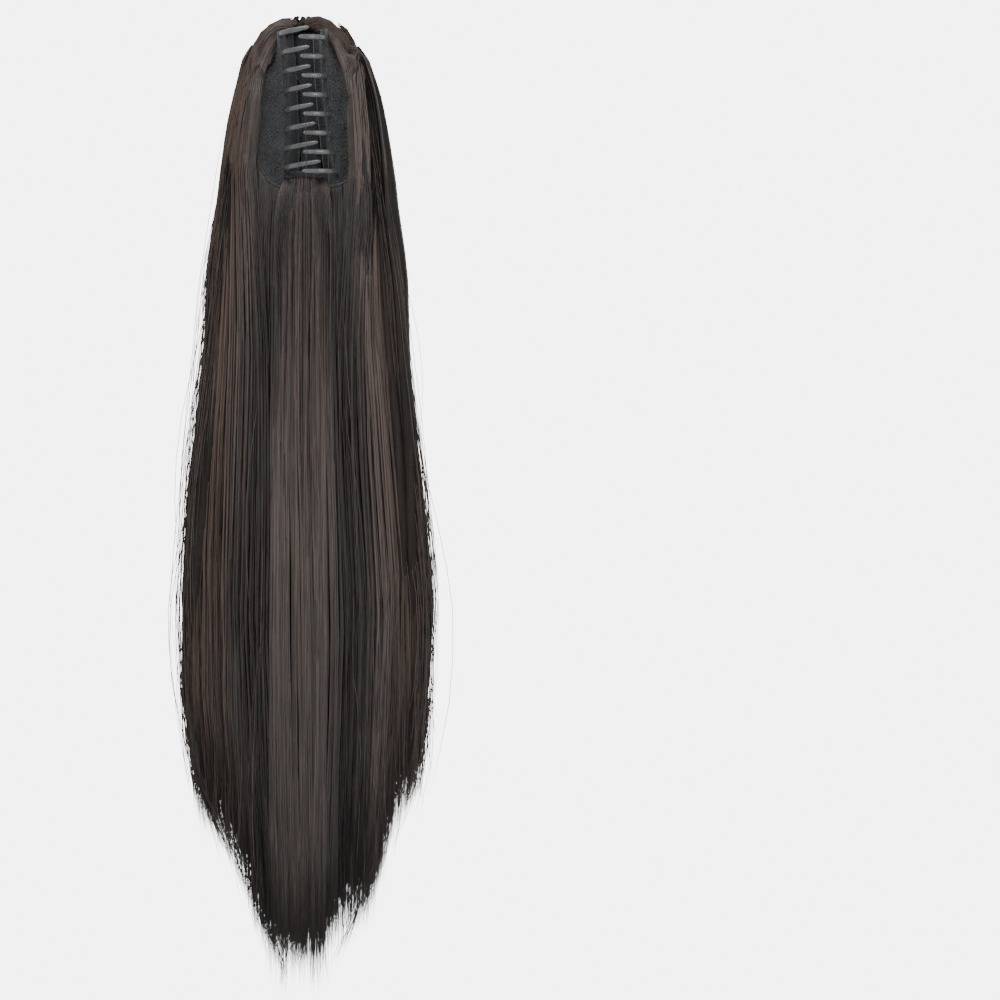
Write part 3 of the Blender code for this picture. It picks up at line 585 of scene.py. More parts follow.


# The net that closes the gap between the bowl's rim and the clip: a stretched piece on each side,
# which the teeth poke through, an apron below the teeth, and a strip in front of the hinge. It is
# sewn to the rim and to the clip's plates.

LINER_BOTTOM = -49.0 * MM
LINER_TOP = 43.0 * MM
LINER_SAG = 2.6 * MM
LINER_WALL = 0.5 * MM
# The share of the way across at which it turns in round the edge of the plate
LINER_TURN = 0.62
# Where a side piece leaves the still rim, and where it has reached the moving jaw
LINER_LEAVES = 27.0 * MM
LINER_REACHES = 15.0 * MM


def rim_across(z):
    """Half the rim's width at a height: the rounded outline of the bowl, solved for its width."""
    up = np.clip((z - CAP_MIDDLE_Z) / CAP_HALF_HEIGHT, -1, 1)
    across = np.clip(1 - np.abs(up) ** CAP_OUTLINE_POWER, 0, 1) ** (1 / CAP_OUTLINE_POWER)
    return CAP_HALF_WIDTH * across * (1 - CAP_EGG * np.sign(up) * np.abs(up))


def liner_point(side, u, z):
    """The side net as a function of the way across, 0 at the rim to 1 deep inside the jaw, and of
    the height. It runs to the front edge of the plate, sags between, turns in round that edge, and
    follows the inside of the bow back towards the hinge."""
    rim_x, rim_front = rim_across(z) - 1.2 * MM, rim_y(z)
    flat = np.clip(u / LINER_TURN, 0, 1)
    turned = np.clip((u - LINER_TURN) / (1 - LINER_TURN), 0, 1)
    tucked = np.clip(turned * 5, 0, 1)
    bow = jaw_bow(np.radians(-17 + 76 * turned), z)
    inside = 1 - (2.9 * tucked - 0.3) * MM / np.hypot(bow[..., 0], bow[..., 1])
    edge_x, edge_y = bow[..., 0] * inside, bow[..., 1] * inside - 1.0 * MM * (1 - tucked)
    x = rim_x + (edge_x - rim_x) * flat
    y = rim_front + (edge_y - rim_front) * flat
    loose = np.sin(np.pi * flat)
    y = y + LINER_SAG * np.abs(loose) ** 1.4
    y = y + 0.45 * MM * loose * np.sin(z / (3.1 * MM) + 5 * u + side)
    return np.stack(np.broadcast_arrays(side * x, y, z), -1)


def thin_cloth(point, ways, heights, wall):
    """A closed shell from a surface function of the way across and the height: each ring goes
    across in front and comes back behind, a wall's thickness deeper."""
    across = np.concatenate([ways, ways[-2:0:-1]])
    rings = point(across[None], heights[:, None])
    behind = np.zeros(len(across))
    behind[len(ways):] = wall
    behind[[0, len(ways) - 1]] = wall / 2
    rings[..., 1] += behind
    return closed_shell(leaned(rings))


def apron_point(u, z):
    """The net below the teeth: across from -1 to 1, from under the last teeth down to the rim."""
    down = np.clip((-41.0 * MM - z) / (11.0 * MM), 0, 1)
    x = u * (17.5 * MM + 7.5 * MM * down)
    y = -1.5 * MM - 6.0 * MM * down + 0.4 * MM * np.sin(x / (1.9 * MM) + z / (2.3 * MM))
    return np.stack(np.broadcast_arrays(x, y, z), -1)


def backing_point(u, z):
    """The strip in front of the hinge, between the two jaws: it bows a little to the front."""
    return np.stack(np.broadcast_arrays(u * 6.0 * MM, 13.6 * MM - 1.2 * MM * (1 - u * u), z), -1)


heights = np.linspace(LINER_BOTTOM, LINER_TOP, 76)
ways = np.concatenate([np.linspace(0, LINER_TURN, 17), np.linspace(LINER_TURN, 1, 15)[1:]])
side_nets = {}
for jaw, side in (("left_jaw", -1), ("right_jaw", 1)):
    side_nets[side] = ("root", jaw, (side * LINER_LEAVES, 0, 0), (side * LINER_REACHES, 0, 0))
    cloth = thin_cloth(lambda u, z: liner_point(side, u, z), ways, heights, LINER_WALL)
    piece(f"{jaw}_net", [cloth], net, side_nets[side])
apron = thin_cloth(apron_point, np.linspace(-1, 1, 31), np.linspace(-52.5, -41, 12) * MM, LINER_WALL)
backing = thin_cloth(backing_point, np.linspace(-1, 1, 13), np.linspace(-45, 43, 40) * MM, LINER_WALL)
piece("net_apron", [apron, backing], net, "root")


# Threads of the net that stand proud inside the bowl, and the curly loose ends of thread and lint
# round the teeth. They are fine black yarn and grey lint, sewn through the net or caught in it.


def thin_strands(name, paths, radii, material, body, values=None):
    """Fine closed strands, all as whole arrays: each is a three-sided tube round its path with a
    point at both ends. A bake map gives each strand its own cell, and values are one number a
    strand, or one for each of its stations, kept as attributes of its points."""
    count, stations = paths.shape[:2]
    along = np.gradient(paths, axis=1)
    along /= np.linalg.norm(along, axis=2)[..., None] + 1e-12
    across = np.cross(along, (0.28, 0.93, 0.23))
    across /= np.linalg.norm(across, axis=2)[..., None] + 1e-9
    third = np.cross(along, across)
    turn = 2 * np.pi * np.arange(3) / 3
    rings = paths[:, 1:-1, None] + radii[:, 1:-1, None, None] * (
        np.cos(turn)[:, None] * across[:, 1:-1, None] + np.sin(turn)[:, None] * third[:, 1:-1, None])
    points = np.concatenate([paths[:, :1], rings.reshape(count, -1, 3), paths[:, -1:]], axis=1)

    # One strand's faces: quads from ring to ring, and three triangles at each end
    side, after = np.arange(3), np.roll(np.arange(3), -1)
    low = 1 + 3 * np.arange(stations - 3)[:, None]
    quads = np.stack([low + side, low + 3 + side, low + 3 + after, low + after], -1).reshape(-1, 4)
    last, tip = 1 + 3 * (stations - 3), 1 + 3 * (stations - 2)
    ends = np.concatenate([np.stack([0 * side, side + 1, after + 1], -1),
                           np.stack([0 * side + tip, last + after, last + side], -1)])
    step = np.arange(1, stations - 2)[:, None] + 0 * side
    quad_uv = np.stack([np.stack([0 * step + side, step], -1), np.stack([0 * step + side, step + 1], -1),
                        np.stack([0 * step + side + 1, step + 1], -1),
                        np.stack([0 * step + side + 1, step], -1)], 2).reshape(-1, 4, 2)
    end_uv = np.concatenate([
        np.stack([np.stack([side + 0.5, 0 * side], -1), np.stack([side, 0 * side + 1], -1),
                  np.stack([side + 1, 0 * side + 1], -1)], 1),
        np.stack([np.stack([side + 0.5, 0 * side + stations - 1], -1),
                  np.stack([side + 1, 0 * side + stations - 2], -1),
                  np.stack([side, 0 * side + stations - 2], -1)], 1)])
    shift = (np.arange(count) * (tip + 1))[:, None, None]
    mesh = bare_mesh(name, points.reshape(-1, 3), (quads + shift).reshape(-1, 4),
                     (ends + shift).reshape(-1, 3))

    # Cells of the bake map, wide rows of narrow cells with a little room round each
    columns = int(np.ceil(np.sqrt(count * 5)))
    rows = int(np.ceil(count / columns))
    cell = np.stack([np.arange(count) % columns, np.arange(count) // columns], -1)[:, None, None]
    size = np.array([columns, rows])

    def placed(local):
        inner = 0.1 + 0.8 * local / np.array([3, stations - 1])
        return ((cell + inner) / size).reshape(-1, 2)

    uv = mesh.uv_layers.new(name="OFBake")
    uv.uv.foreach_set("vector", np.concatenate([placed(quad_uv), placed(end_uv)])
                      .astype(np.float32).ravel())
    for key, value in (values or {}).items():
        value = np.broadcast_to(value.reshape(count, -1), (count, stations))
        each = np.concatenate([value[:, :1], np.repeat(value[:, 1:-1], 3, axis=1), value[:, -1:]], 1)
        store = mesh.attributes.new(key, "FLOAT", "POINT")
        store.data.foreach_set("value", each.astype(np.float32).ravel())
    make_piece(name, mesh, material, body)


def yarn(name, dark, light):
    """Polyester yarn: twisted plies in its bump, and a dull shine."""
    material, tree, shader, place = new_material(name)
    fibre = fine_noise(tree, 1800.0, (1.0, 1.0, 1.0), 3.0, place)
    tree.links.new(ramp(tree, fibre, ((0.3, dark), (0.7, light))), shader.inputs["Base Color"])
    tree.links.new(spread(tree, fibre, 0.38, 0.6), shader.inputs["Roughness"])
    bump(tree, fibre, shader, 0.3, 0.05 * MM)
    return material


black_yarn = yarn("black_yarn", (0.018, 0.019, 0.021), (0.060, 0.062, 0.066))
lint_yarn = yarn("lint", (0.016, 0.017, 0.018), (0.120, 0.118, 0.116))
NET_THREADS = 84
start = np.linspace(0, 2 * np.pi, NET_THREADS, endpoint=False)[:, None]
turn = np.radians(np.linspace(14, 89, 22))
twist = 0.9 * np.log(turn / turn[-1])
grid = [cap_surface(start + way * twist, turn[None], -CAP_WALL - 0.15 * MM) for way in (-1, 1)]
paths = leaned(np.concatenate(grid))
thin_strands("net_threads", paths, np.full(paths.shape[:2], 0.24 * MM), black_yarn, "root")

# Each curl wanders over the side net in a chain of small loops, a little in front of it
CURLS = 150
for side in (-1, 1):
    step = np.linspace(0, 1, 20)
    place = dice.beta(1.6, 1.2, (CURLS, 1)) if side > 0 else dice.beta(1.3, 1.8, (CURLS, 1))
    height = dice.uniform(-43, 38, (CURLS, 1)) * MM
    heading = dice.uniform(0, 2 * np.pi, (CURLS, 1)) + dice.uniform(-4, 4, (CURLS, 1)) * step
    length = dice.gamma(2.2, 3.4, (CURLS, 1)) * MM
    curl = dice.uniform(0.4, 2.0, (CURLS, 1)) * MM
    phase = dice.uniform(0, 6.28, (CURLS, 1))
    turns = dice.uniform(5, 15, (CURLS, 1))
    wander = np.cumsum(np.cos(heading), axis=1) * length / 20 + curl * np.cos(phase + turns * step)
    rise = np.cumsum(np.sin(heading), axis=1) * length / 20 + curl * np.sin(phase + turns * step)
    u = np.clip(LINER_TURN * place + wander / (27 * MM), 0.02, 0.95 * LINER_TURN)
    z = np.clip(height + rise, -47 * MM, 41 * MM)
    paths = liner_point(side, u, z)
    off = dice.uniform(0.2, 1.3, (CURLS, 1)) * MM
    paths[..., 1] -= off * (1 + 0.6 * np.sin(1.7 * phase + 0.6 * turns * step))
    thin_strands("net_curls_left" if side < 0 else "net_curls_right", leaned(paths),
                 dice.uniform(0.09, 0.17, (CURLS, 1)) * MM * np.ones(20), lint_yarn,
                 side_nets[side])

# A tuft of thread ends stands in the notch over the clip
TUFT = 44
step = np.linspace(0, 1, 10)
base = MM * np.column_stack([dice.uniform(-9, -1, TUFT), dice.uniform(5, 12, TUFT),
                             np.full(TUFT, 43.5)])
tip = MM * np.column_stack([dice.uniform(-4, 4, TUFT), dice.uniform(-2, 2, TUFT),
                            dice.uniform(4, 8, TUFT)])
paths = base[:, None] + tip[:, None] * step[:, None]
paths[..., 0] += 0.8 * MM * np.sin(7 * step + dice.uniform(0, 6, (TUFT, 1)))
thin_strands("seam_threads", paths, 0.3 * MM * (1.1 - step) * np.ones((TUFT, 1)), black_yarn,
             "root")


# The hair: straight dark brown synthetic fibre, machine-sewn in wefts to the outside of the cap.
# It falls in an outer layer over the top and down the back, a fall on each side of the clip, and
# one that starts under the clip. Under the loose fibres lie the closer locks, coloured darker as
# painted shade.

HAIR_HALF_SPREAD = 74.0 * MM
HAIR_DEPTH = 44.0 * MM
HAIR_DROP = 519.0 * MM
HAIR_COVER = 7.0 * MM
HAIR_WAVE = 2.2 * MM
CROWN_LEAN = 2.8 * MM
# Over the cap: height as a share of its top, or of its bottom below the origin; outer and inner
# half widths as shares of its half width; front, parting and back as shares of its depth
CROWN = np.array([
    (1.075, 0.40, 0.30, 0.25, 0.26, 0.37),
    (1.045, 0.64, 0.40, 0.27, 0.31, 0.68),
    (0.97, 0.80, 0.50, 0.28, 0.40, 0.93),
    (0.88, 0.90, 0.64, 0.27, 0.55, 1.02),
    (0.80, 0.97, 0.74, 0.27, 0.58, 1.08),
    (0.65, 1.10, 0.84, 0.18, 0.54, 1.13),
    (0.53, 1.18, 0.90, 0.02, 0.48, 1.17),
    (0.15, 1.33, 0.98, -0.26, 0.34, 1.21),
    (-0.20, 1.43, 1.04, -0.32, 0.30, 1.22),
    (-0.54, 1.51, 1.09, -0.32, 0.30, 1.20),
    (-0.88, 1.58, 1.10, -0.30, 0.30, 1.15),
])
# Below the cap: the same, as shares of the drop, of the half spread and of the depth
FALL = np.array([
    (-0.125, 0.70, 0.40, -0.27, 0.295, 1.08),
    (-0.195, 0.77, 0.31, -0.20, 0.295, 0.96),
    (-0.300, 0.82, 0.27, -0.16, 0.295, 0.87),
    (-0.437, 0.93, 0.27, -0.14, 0.295, 0.78),
    (-0.576, 1.00, 0.30, -0.11, 0.295, 0.72),
    (-0.680, 0.98, 0.30, -0.09, 0.295, 0.67),
    (-0.784, 0.89, 0.26, -0.04, 0.280, 0.61),
    (-0.854, 0.66, 0.20, 0.00, 0.270, 0.57),
    (-0.923, 0.44, 0.13, 0.07, 0.270, 0.50),
    (-1.000, 0.20, 0.06, 0.14, 0.270, 0.41),
])
CROWN[:, 0] *= np.where(CROWN[:, 0] > 0, CAP_TOP, CAP_BOTTOM)
CROWN[:, 1:3] *= CAP_HALF_WIDTH
CROWN[:, 3:] *= CAP_BACK_Y
FALL *= (HAIR_DROP, HAIR_HALF_SPREAD, HAIR_HALF_SPREAD, HAIR_DEPTH, HAIR_DEPTH, HAIR_DEPTH)
HAIR = np.concatenate([FALL[::-1], CROWN[::-1]])
COLUMNS = ("height", "width", "inner", "front", "parting", "back")
# Fibres start to end at the first share of the drop, and the fall narrows by the second share
ENDS_START = 0.70
ENDS_NARROWING = 0.25
# How far down fibres end: place as a share of the half spread, end as a share of the drop
ENDS = np.array([
    (-1.05, 0.775), (-0.97, 0.815), (-0.70, 0.850), (-0.52, 0.888), (-0.47, 0.925), (-0.38, 0.957),
    (-0.265, 0.982), (-0.1, 1.0), (0.06, 0.997), (0.14, 0.982), (0.24, 0.958), (0.50, 0.935),
    (0.60, 0.905), (0.655, 0.853), (0.72, 0.818), (0.86, 0.785), (0.96, 0.755), (1.05, 0.730),
])
# Dense hair reaches those ends, and the longest fibres this much further
ENDS_BEYOND = 0.015
# Locks: place across the fall, top as a share of the cap's height, end as a share of the drop
OUTER_LOCKS = np.array([
    (-0.97, 0.74, 0.745), (-0.76, 0.94, 0.830), (-0.52, 1.03, 0.915), (-0.27, 1.05, 0.965),
    (0.00, 1.07, 1.000), (0.25, 1.055, 0.975), (0.50, 1.025, 0.905), (0.75, 0.93, 0.860),
    (0.97, 0.72, 0.790),
])
SIDE_LOCKS = np.array([
    (0.08, 0.98, 0.955), (0.30, 0.96, 0.900), (0.54, 0.92, 0.870), (0.77, 0.80, 0.800),
    (0.97, 0.60, 0.765),
])
UNDER_LOCKS = np.array([
    (-0.72, -0.87, 0.900), (-0.24, -0.86, 0.985), (0.26, -0.86, 0.950), (0.74, -0.87, 0.880),
])
# The loose fibres lean a little to the left beside the clip: heights, then sideways moves
FALL_LEAN = np.array([(-300, -190, -20, 25, 47.5), (0, -2.2, -2.2, -1.0, -2.8)]) * MM
# Where the side falls cover the rim: heights, how far in, and how nearly in front of the rim
RIM_COVER = np.array([(-110 * MM, -70 * MM, -45 * MM, 15 * MM, 40 * MM),
                      (0, 2.0 * MM, 6.5 * MM, 6.5 * MM, 3.0 * MM), (0, 0.6, 1, 1, 1)])


def hair_at(column, z):
    """The hair's outline at a height: straight between the rows of the two tables."""
    return np.interp(z, HAIR[:, 0], HAIR[:, COLUMNS.index(column)])


def hanging_width(z):
    """The loose fibres' half width: the tables' down to where the ends begin, and from there it
    narrows only by a quarter, because the fibres hang straight and it is their lengths that
    bring the fall to a point."""
    start = ENDS_START * HAIR_DROP
    below = np.clip((-z - start) / (HAIR_DROP - start), 0, 1)
    return np.where(below > 0, hair_at("width", -start) * (1 - ENDS_NARROWING * below),
                    hair_at("width", z))


def hair_point(fall, place, deep, z, loose=True):
    """A point in a fall. Place runs across it, from -1 to 1 in the outer and under falls, and from
    0 beside the clip to 1 at the outer edge in a side fall. Deep is 0 at the parting and 1 at the
    outer face, which bows as an ellipse from the middle to both edges."""
    width, inner = hair_at("width", z), hair_at("inner", z)
    if loose:
        width, inner = hanging_width(z), inner * hanging_width(z) / width
    if fall == "outer":
        x = width * place
    elif fall == "under":
        x = inner * place
    else:
        x = (inner + (width - inner) * place) * (1 if fall == "right" else -1)
    parting = hair_at("parting", z)
    face = hair_at("back" if fall == "outer" else "front", z)
    bow = np.sqrt(np.clip(1 - (x / width) ** 2, 0.0, 1.0))
    y = parting + (face - parting) * deep * bow
    if loose:
        # The inner strands of the side falls lie over the rim
        if fall in ("left", "right"):
            over = np.interp(z, RIM_COVER[0], RIM_COVER[1]) * (1 - np.clip(place / 0.55, 0, 1))
            x = x - np.sign(x) * over
            cover = np.interp(z, RIM_COVER[0], RIM_COVER[2]) * np.clip(2.4 - 5.0 * place, 0, 1)
            y = y + (np.minimum(y, rim_y(z) - 3.2 * MM) - y) * cover
        x = x + np.interp(z, *FALL_LEAN)
    else:
        x = x + np.interp(z, (0.0, CAP_TOP), (0.0, -CROWN_LEAN))
    return np.stack(np.broadcast_arrays(x, y, z), -1)


def hair_group():
    """A shader group for combed fibre. Tone picks a brown from shadow to shine, warm turns it
    towards chestnut, and a long fine noise breaks both up into single hairs. It gives the colour,
    the roughness, and the hairs as a height."""
    group, taken, given = new_group("combed_fibre", {"Vector": "Vector", "Tone": "Float", "Warm": "Float"},
                                    {"Color": "Color", "Roughness": "Float", "Hairs": "Float"})
    hairs = fine_noise(group, 1.0, (2600.0, 2600.0, 26.0), 2.0, taken["Vector"])
    bands = fine_noise(group, 1.0, (300.0, 300.0, 5.0), 2.0, taken["Vector"])
    shade = calculated(group, "ADD", taken["Tone"], spread(group, hairs, -0.22, 0.22))
    shade = calculated(group, "ADD", shade, spread(group, bands, -0.12, 0.12))
    brown = ramp(group, shade, (
        (0.0, (0.0085, 0.0080, 0.0078)), (0.35, (0.0200, 0.0168, 0.0155)),
        (0.65, (0.0420, 0.0325, 0.0290)), (1.0, (0.0920, 0.0720, 0.0640))))
    chestnut = ramp(group, shade, (
        (0.0, (0.0140, 0.0090, 0.0070)), (1.0, (0.0900, 0.0520, 0.0370))))
    mix = group.nodes.new("ShaderNodeMix")
    mix.data_type = "RGBA"
    group.links.new(taken["Warm"], mix.inputs[0])
    group.links.new(brown, mix.inputs[6])
    group.links.new(chestnut, mix.inputs[7])
    group.links.new(mix.outputs[2], given["Color"])
    group.links.new(spread(group, hairs, 0.34, 0.50), given["Roughness"])
    group.links.new(hairs, given["Hairs"])
    return group


def hair_material(name, group, loose):
    """Combed fibre. Loose strands carry their own tone and warmth as attributes, and the locks
    below them take theirs from a broad noise, darker than the strands as painted shade."""
    material, tree, shader, place = new_material(name)
    fibre = tree.nodes.new("ShaderNodeGroup")
    fibre.node_tree = group
    tree.links.new(place, fibre.inputs["Vector"])
    if loose:
        for key in ("Tone", "Warm"):
            store = tree.nodes.new("ShaderNodeAttribute")
            store.attribute_name = key.lower()
            tree.links.new(store.outputs["Fac"], fibre.inputs[key])
    else:
        # The locks' tone is kept low: painted shade for the hair under the loose strands
        broad = fine_noise(tree, 1.0, (110.0, 110.0, 3.0), 2.0, place)
        tree.links.new(spread(tree, broad, 0.0, 0.24), fibre.inputs["Tone"])
        fibre.inputs["Warm"].default_value = 0.2
    tree.links.new(fibre.outputs["Color"], shader.inputs["Base Color"])
    tree.links.new(fibre.outputs["Roughness"], shader.inputs["Roughness"])
    bump(tree, fibre.outputs["Hairs"], shader, 0.35 if loose else 0.9, 0.12 * MM)
    shader.inputs["Specular IOR Level"].default_value = 0.55 if loose else 0.12
    return material


def lock_rings(fall, place, top, end, stations=30, sides=28):
    """The body of one lock: an oval section carried down its path, with grooves that run its whole
    length, thin at its seam and drawn out to its tip."""
    share = np.linspace(0, 1, stations) ** 1.7
    z_top = top * (CAP_TOP if top > 0 else CAP_BOTTOM)
    z = z_top - (end * HAIR_DROP * 0.97 + z_top) * share
    count = {"outer": 9, "under": 4}.get(fall, 5)
    layer = 1 if fall == "outer" else -1
    span = 2 * hair_at("width", z) if fall == "outer" else (
        2 * hair_at("inner", z) if fall == "under" else hair_at("width", z) - hair_at("inner", z))
    half_width = span / (2 * count)
    depth = np.abs(hair_at("back" if fall == "outer" else "front", z) - hair_at("parting", z))
    cover = np.interp(z, (-1.4 * CAP_BOTTOM, -0.6 * CAP_BOTTOM), (HAIR_DEPTH, HAIR_COVER))
    thick = np.minimum(depth / 2, cover) * 0.80
    across_fall = place if fall in ("outer", "under") else 0.08 + 0.84 * place
    middle = hair_point(fall, across_fall * 0.93, 0.66, z, loose=False)
    rim = hair_at("parting", z)
    middle[:, 1] = rim + (middle[:, 1] - rim) * np.clip(1 - thick / np.maximum(depth, 1e-6), 0.1, 1)
    middle[:, 0] += HAIR_WAVE * np.sin(9 * share + 5 * place + layer) * np.clip(3 * share, 0, 1)
    girth = np.interp(share, (0, 0.02, 0.72, 0.92, 1), (0.75, 1.0, 1.0, 0.55, 0.06))
    turn = np.linspace(0, 2 * np.pi, sides, endpoint=False)
    groove = 1 + 0.07 * np.sin(9 * turn + 7 * place) + 0.05 * np.sin(5 * turn + 2 + 3 * place)
    along = np.gradient(middle, axis=0)
    along /= np.linalg.norm(along, axis=1)[:, None]
    outward = np.array([0.0, layer, 0.0]) - along * (along[:, 1:2] * layer)
    outward /= np.linalg.norm(outward, axis=1)[:, None]
    across = np.cross(along, outward)
    a = (half_width * 1.2 * girth)[:, None] * np.cos(turn) * groove
    b = (thick * girth)[:, None] * np.sin(turn) * groove
    rings = middle[:, None] + a[..., None] * across[:, None] + b[..., None] * outward[:, None]
    return clear_of_cap(rings, 0.4 * MM)


combed = hair_group()
shaded_lock_hair = hair_material("hair_locks_painted_shade", combed, loose=False)
loose_hair = hair_material("hair_strands", combed, loose=True)
for fall, locks in (("outer", OUTER_LOCKS), ("left", SIDE_LOCKS), ("right", SIDE_LOCKS),
                    ("under", UNDER_LOCKS)):
    shells = [closed_shell(lock_rings(fall, *lock)) for lock in locks]
    piece(f"hair_{fall}_locks", shells, shaded_lock_hair, "root", [f"hair_{fall}_fall"])


# The loose fibres over those locks, combed straight and gathered in narrow clumps. They start in
# the cap's seams, arch over the crown, and end at different lengths in drawn-out ragged points.

STATIONS = np.array([0, 0.003, 0.009, 0.020, 0.042, 0.085, 0.150, 0.240, 0.350, 0.470, 0.600,
                     0.730, 0.860, 1.0])
# Strands of the side falls spend their first eight stations on the arch over the crown
ARCH_STEPS = np.array([0, 0.07, 0.16, 0.27, 0.40, 0.56, 0.76, 1.0])
SIDE_STATIONS = np.concatenate([0.15 * ARCH_STEPS, [0.24, 0.36, 0.50, 0.66, 0.83, 1.0]])
# The arch's start and its two control points, seen from the front in mm, for the inner strands
# and for those along the outline, left and right
CROWN_HUMPS = {
    -1: (((-17, 38), (-4.5, 45.5)), ((-21, 33), (-14, 58)), ((-26, 8), (-42, 50))),
    1: (((14, 40), (-3, 45.5)), ((19, 37), (3, 59)), ((25, 10), (35, 56))),
}
# How light the front is from its left edge to its right one: painted shade in the darker channels
# beside the middle lock, and a painted highlight for the bright streak in each side fall
FRONT_TONES_AND_PAINTED_LIGHT = np.array([
    (-1.0, 0.50), (-0.84, 0.56), (-0.70, 0.68), (-0.57, 0.42), (-0.46, 0.12), (-0.35, 0.16),
    (-0.27, 0.58), (-0.15, 0.66), (-0.02, 0.50), (0.10, 0.62), (0.20, 0.50), (0.28, 0.14),
    (0.44, 0.12), (0.55, 0.42), (0.63, 0.86), (0.72, 0.84), (0.80, 0.56), (0.90, 0.42), (1.0, 0.50),
])
# How light a strand is along its length: share of the length, then factor
LENGTH_TONES = np.array([
    (0, 0.80), (0.03, 0.92), (0.15, 1.02), (0.28, 1.34), (0.42, 1.30), (0.62, 1.0), (1, 0.68),
])
# Strands and clumps in each fall
FULLNESS = {"outer": (3700, 120), "left": (2100, 46), "right": (2100, 46), "under": (1600, 34)}
# The under fall leaves the net close together and passes over the rim: heights, then the share of
# its full spread, and heights, then how far forward its strands lie at least
UNDER_FAN = ((-180 * MM, -90 * MM, -60 * MM, -46 * MM), (1.0, 0.76, 0.52, 0.34))
UNDER_OVER_RIM = MM * np.array([(-90, -62, -55, -49, -45), (-5, -10.4, -11.4, -9.4, -6.4)])


def clumped(count, clumps, low, high):
    """Places of strands: each clump has its place, spread evenly with a jitter, and its strands
    lie about it in a bell. It gives clump numbers, places and offsets in -1 to 1."""
    clump = np.sort(dice.integers(0, clumps, count))
    middle = low + (high - low) * (np.arange(clumps) + 0.5 + dice.uniform(-0.4, 0.4, clumps)) / clumps
    return clump, middle[clump], np.clip(dice.normal(0, 0.45, count), -1, 1)


def fibre_end(fall, place):
    """How far down the fibres at a place end. A fibre's place at its tip depends on its length, as
    the fall narrows, so the table is read three times, each time at the tip last found."""
    sign = {"left": -1, "right": 1}.get(fall)
    inner = hair_at("inner", -0.8 * HAIR_DROP) / hair_at("width", -0.8 * HAIR_DROP)
    spot = place * inner if fall == "under" else place if sign is None else (
        sign * (inner + (1 - inner) * place))
    end = np.interp(spot, *ENDS.T)
    for _ in range(3):
        end = np.interp(spot * hanging_width(-end * HAIR_DROP) / HAIR_HALF_SPREAD, *ENDS.T)
    return end


def combed_fall(fall, count, clumps, locks, low=-1.0, high=1.0, stations=STATIONS):
    """The strands of a fall, as paths, radii, tones and warmths. Each follows its place down the
    fall's outline. The clump narrows towards its tip, its middle strands stand proud of its edge
    ones, and every strand adds a small wave of its own."""
    clump, place, offset = clumped(count, clumps, low, high)
    reach = (high - low) / clumps * dice.uniform(0.65, 1.25, clumps)[clump]
    end = fibre_end(fall, place) + ENDS_BEYOND + dice.normal(0, 0.012, clumps)[clump]
    end = end - np.abs(dice.normal(0, 0.030, count)) - 0.02 * np.abs(offset)
    end = np.where(dice.random(count) < 0.06, end * dice.uniform(0.65, 0.95, count), end)
    top = np.interp(place, locks[:, 0], locks[:, 1])
    z_top = top * np.where(top > 0, CAP_TOP, CAP_BOTTOM) + dice.uniform(-1.5, 0.8, count) * MM
    share = stations[None]
    z = z_top[:, None] - (end[:, None] * HAIR_DROP + z_top[:, None]) * share
    gather = 1 - 0.45 * np.clip(share / 0.5, 0, 1)
    gather = gather - 0.4 * np.clip((share - 0.75) / 0.25, 0, 1) ** 2
    across = place[:, None] + (reach * offset)[:, None] * gather
    across = np.clip(across, low - 0.01, high + 0.01)
    deep = 1.0 - 0.30 * dice.random(count) ** 2.2
    deep = deep[:, None] + 0.05 * (dice.random(clumps)[clump, None] - 0.5) \
        - 0.07 * (offset ** 2)[:, None] * np.clip(share / 0.3, 0.2, 1)
    paths = hair_point(fall, across, deep, z)
    phase = dice.uniform(0, 6.28, clumps)[clump, None]
    own = dice.uniform(0, 6.28, (count, 1))
    sway = np.clip(share * 3, 0, 1)
    paths[..., 0] += MM * sway * (1.0 * np.sin(6 * share + phase) + 0.45 * np.sin(11 * share + own))
    paths[..., 1] += MM * sway * (0.7 * np.sin(5 * share + 2 * phase) + 0.4 * np.cos(9 * share + own))
    # Ends part a little from each other
    paths[..., 0] += dice.normal(0, 1.6, (count, 1)) * MM * np.clip((share - 0.6) / 0.4, 0, 1) ** 2
    if fall == "under":
        paths[..., 0] *= np.interp(z, *UNDER_FAN)
        over_rim = np.interp(z, *UNDER_OVER_RIM) - dice.uniform(0, 1.6, (count, 1)) * MM
        paths[..., 1] = np.minimum(paths[..., 1], over_rim)
    else:
        paths = clear_of_cap(paths, 0.8 * MM + dice.uniform(0, 3.0, (count, 1)) * MM, mouth=0.80)
    return paths, *fibre_looks(fall, place, clump, clumps, z, share)


def fibre_looks(fall, place, clump, clumps, z, share):
    """Radii, tones and warmths of strands: warm at the outer edges, paler in the middle of the front,
    with painted shade in the channels beside it and painted highlights in its streaks, and with each
    clump a little lighter or darker than the next."""
    count = len(place)
    radius = dice.uniform(0.26, 0.44, (count, 1)) * MM
    radii = radius * np.interp(share, (0, 0.01, 0.8, 1), (0.7, 1, 0.9, 0.45))
    middle = hair_point(fall, place[:, None], 1.0, z)[..., 0] / hanging_width(z)
    if fall == "outer":
        tone = 0.50 + 0.10 * np.sin(8 * place + 1.0)[:, None] + 0 * z
    else:
        # Across the front the tone holds painted shade in the channels and painted highlights in the
        # streaks
        tone = np.interp(middle, *FRONT_TONES_AND_PAINTED_LIGHT.T)
    tone = tone + dice.normal(0, 0.10, clumps)[clump, None] + dice.normal(0, 0.09, (count, 1))
    tone = tone * np.interp(share, *LENGTH_TONES.T)
    warm = 0.85 * np.clip((np.abs(middle) - 0.66) / 0.28, 0, 1)
    return radii, tone, warm + dice.uniform(0, 0.35, clumps)[clump, None]


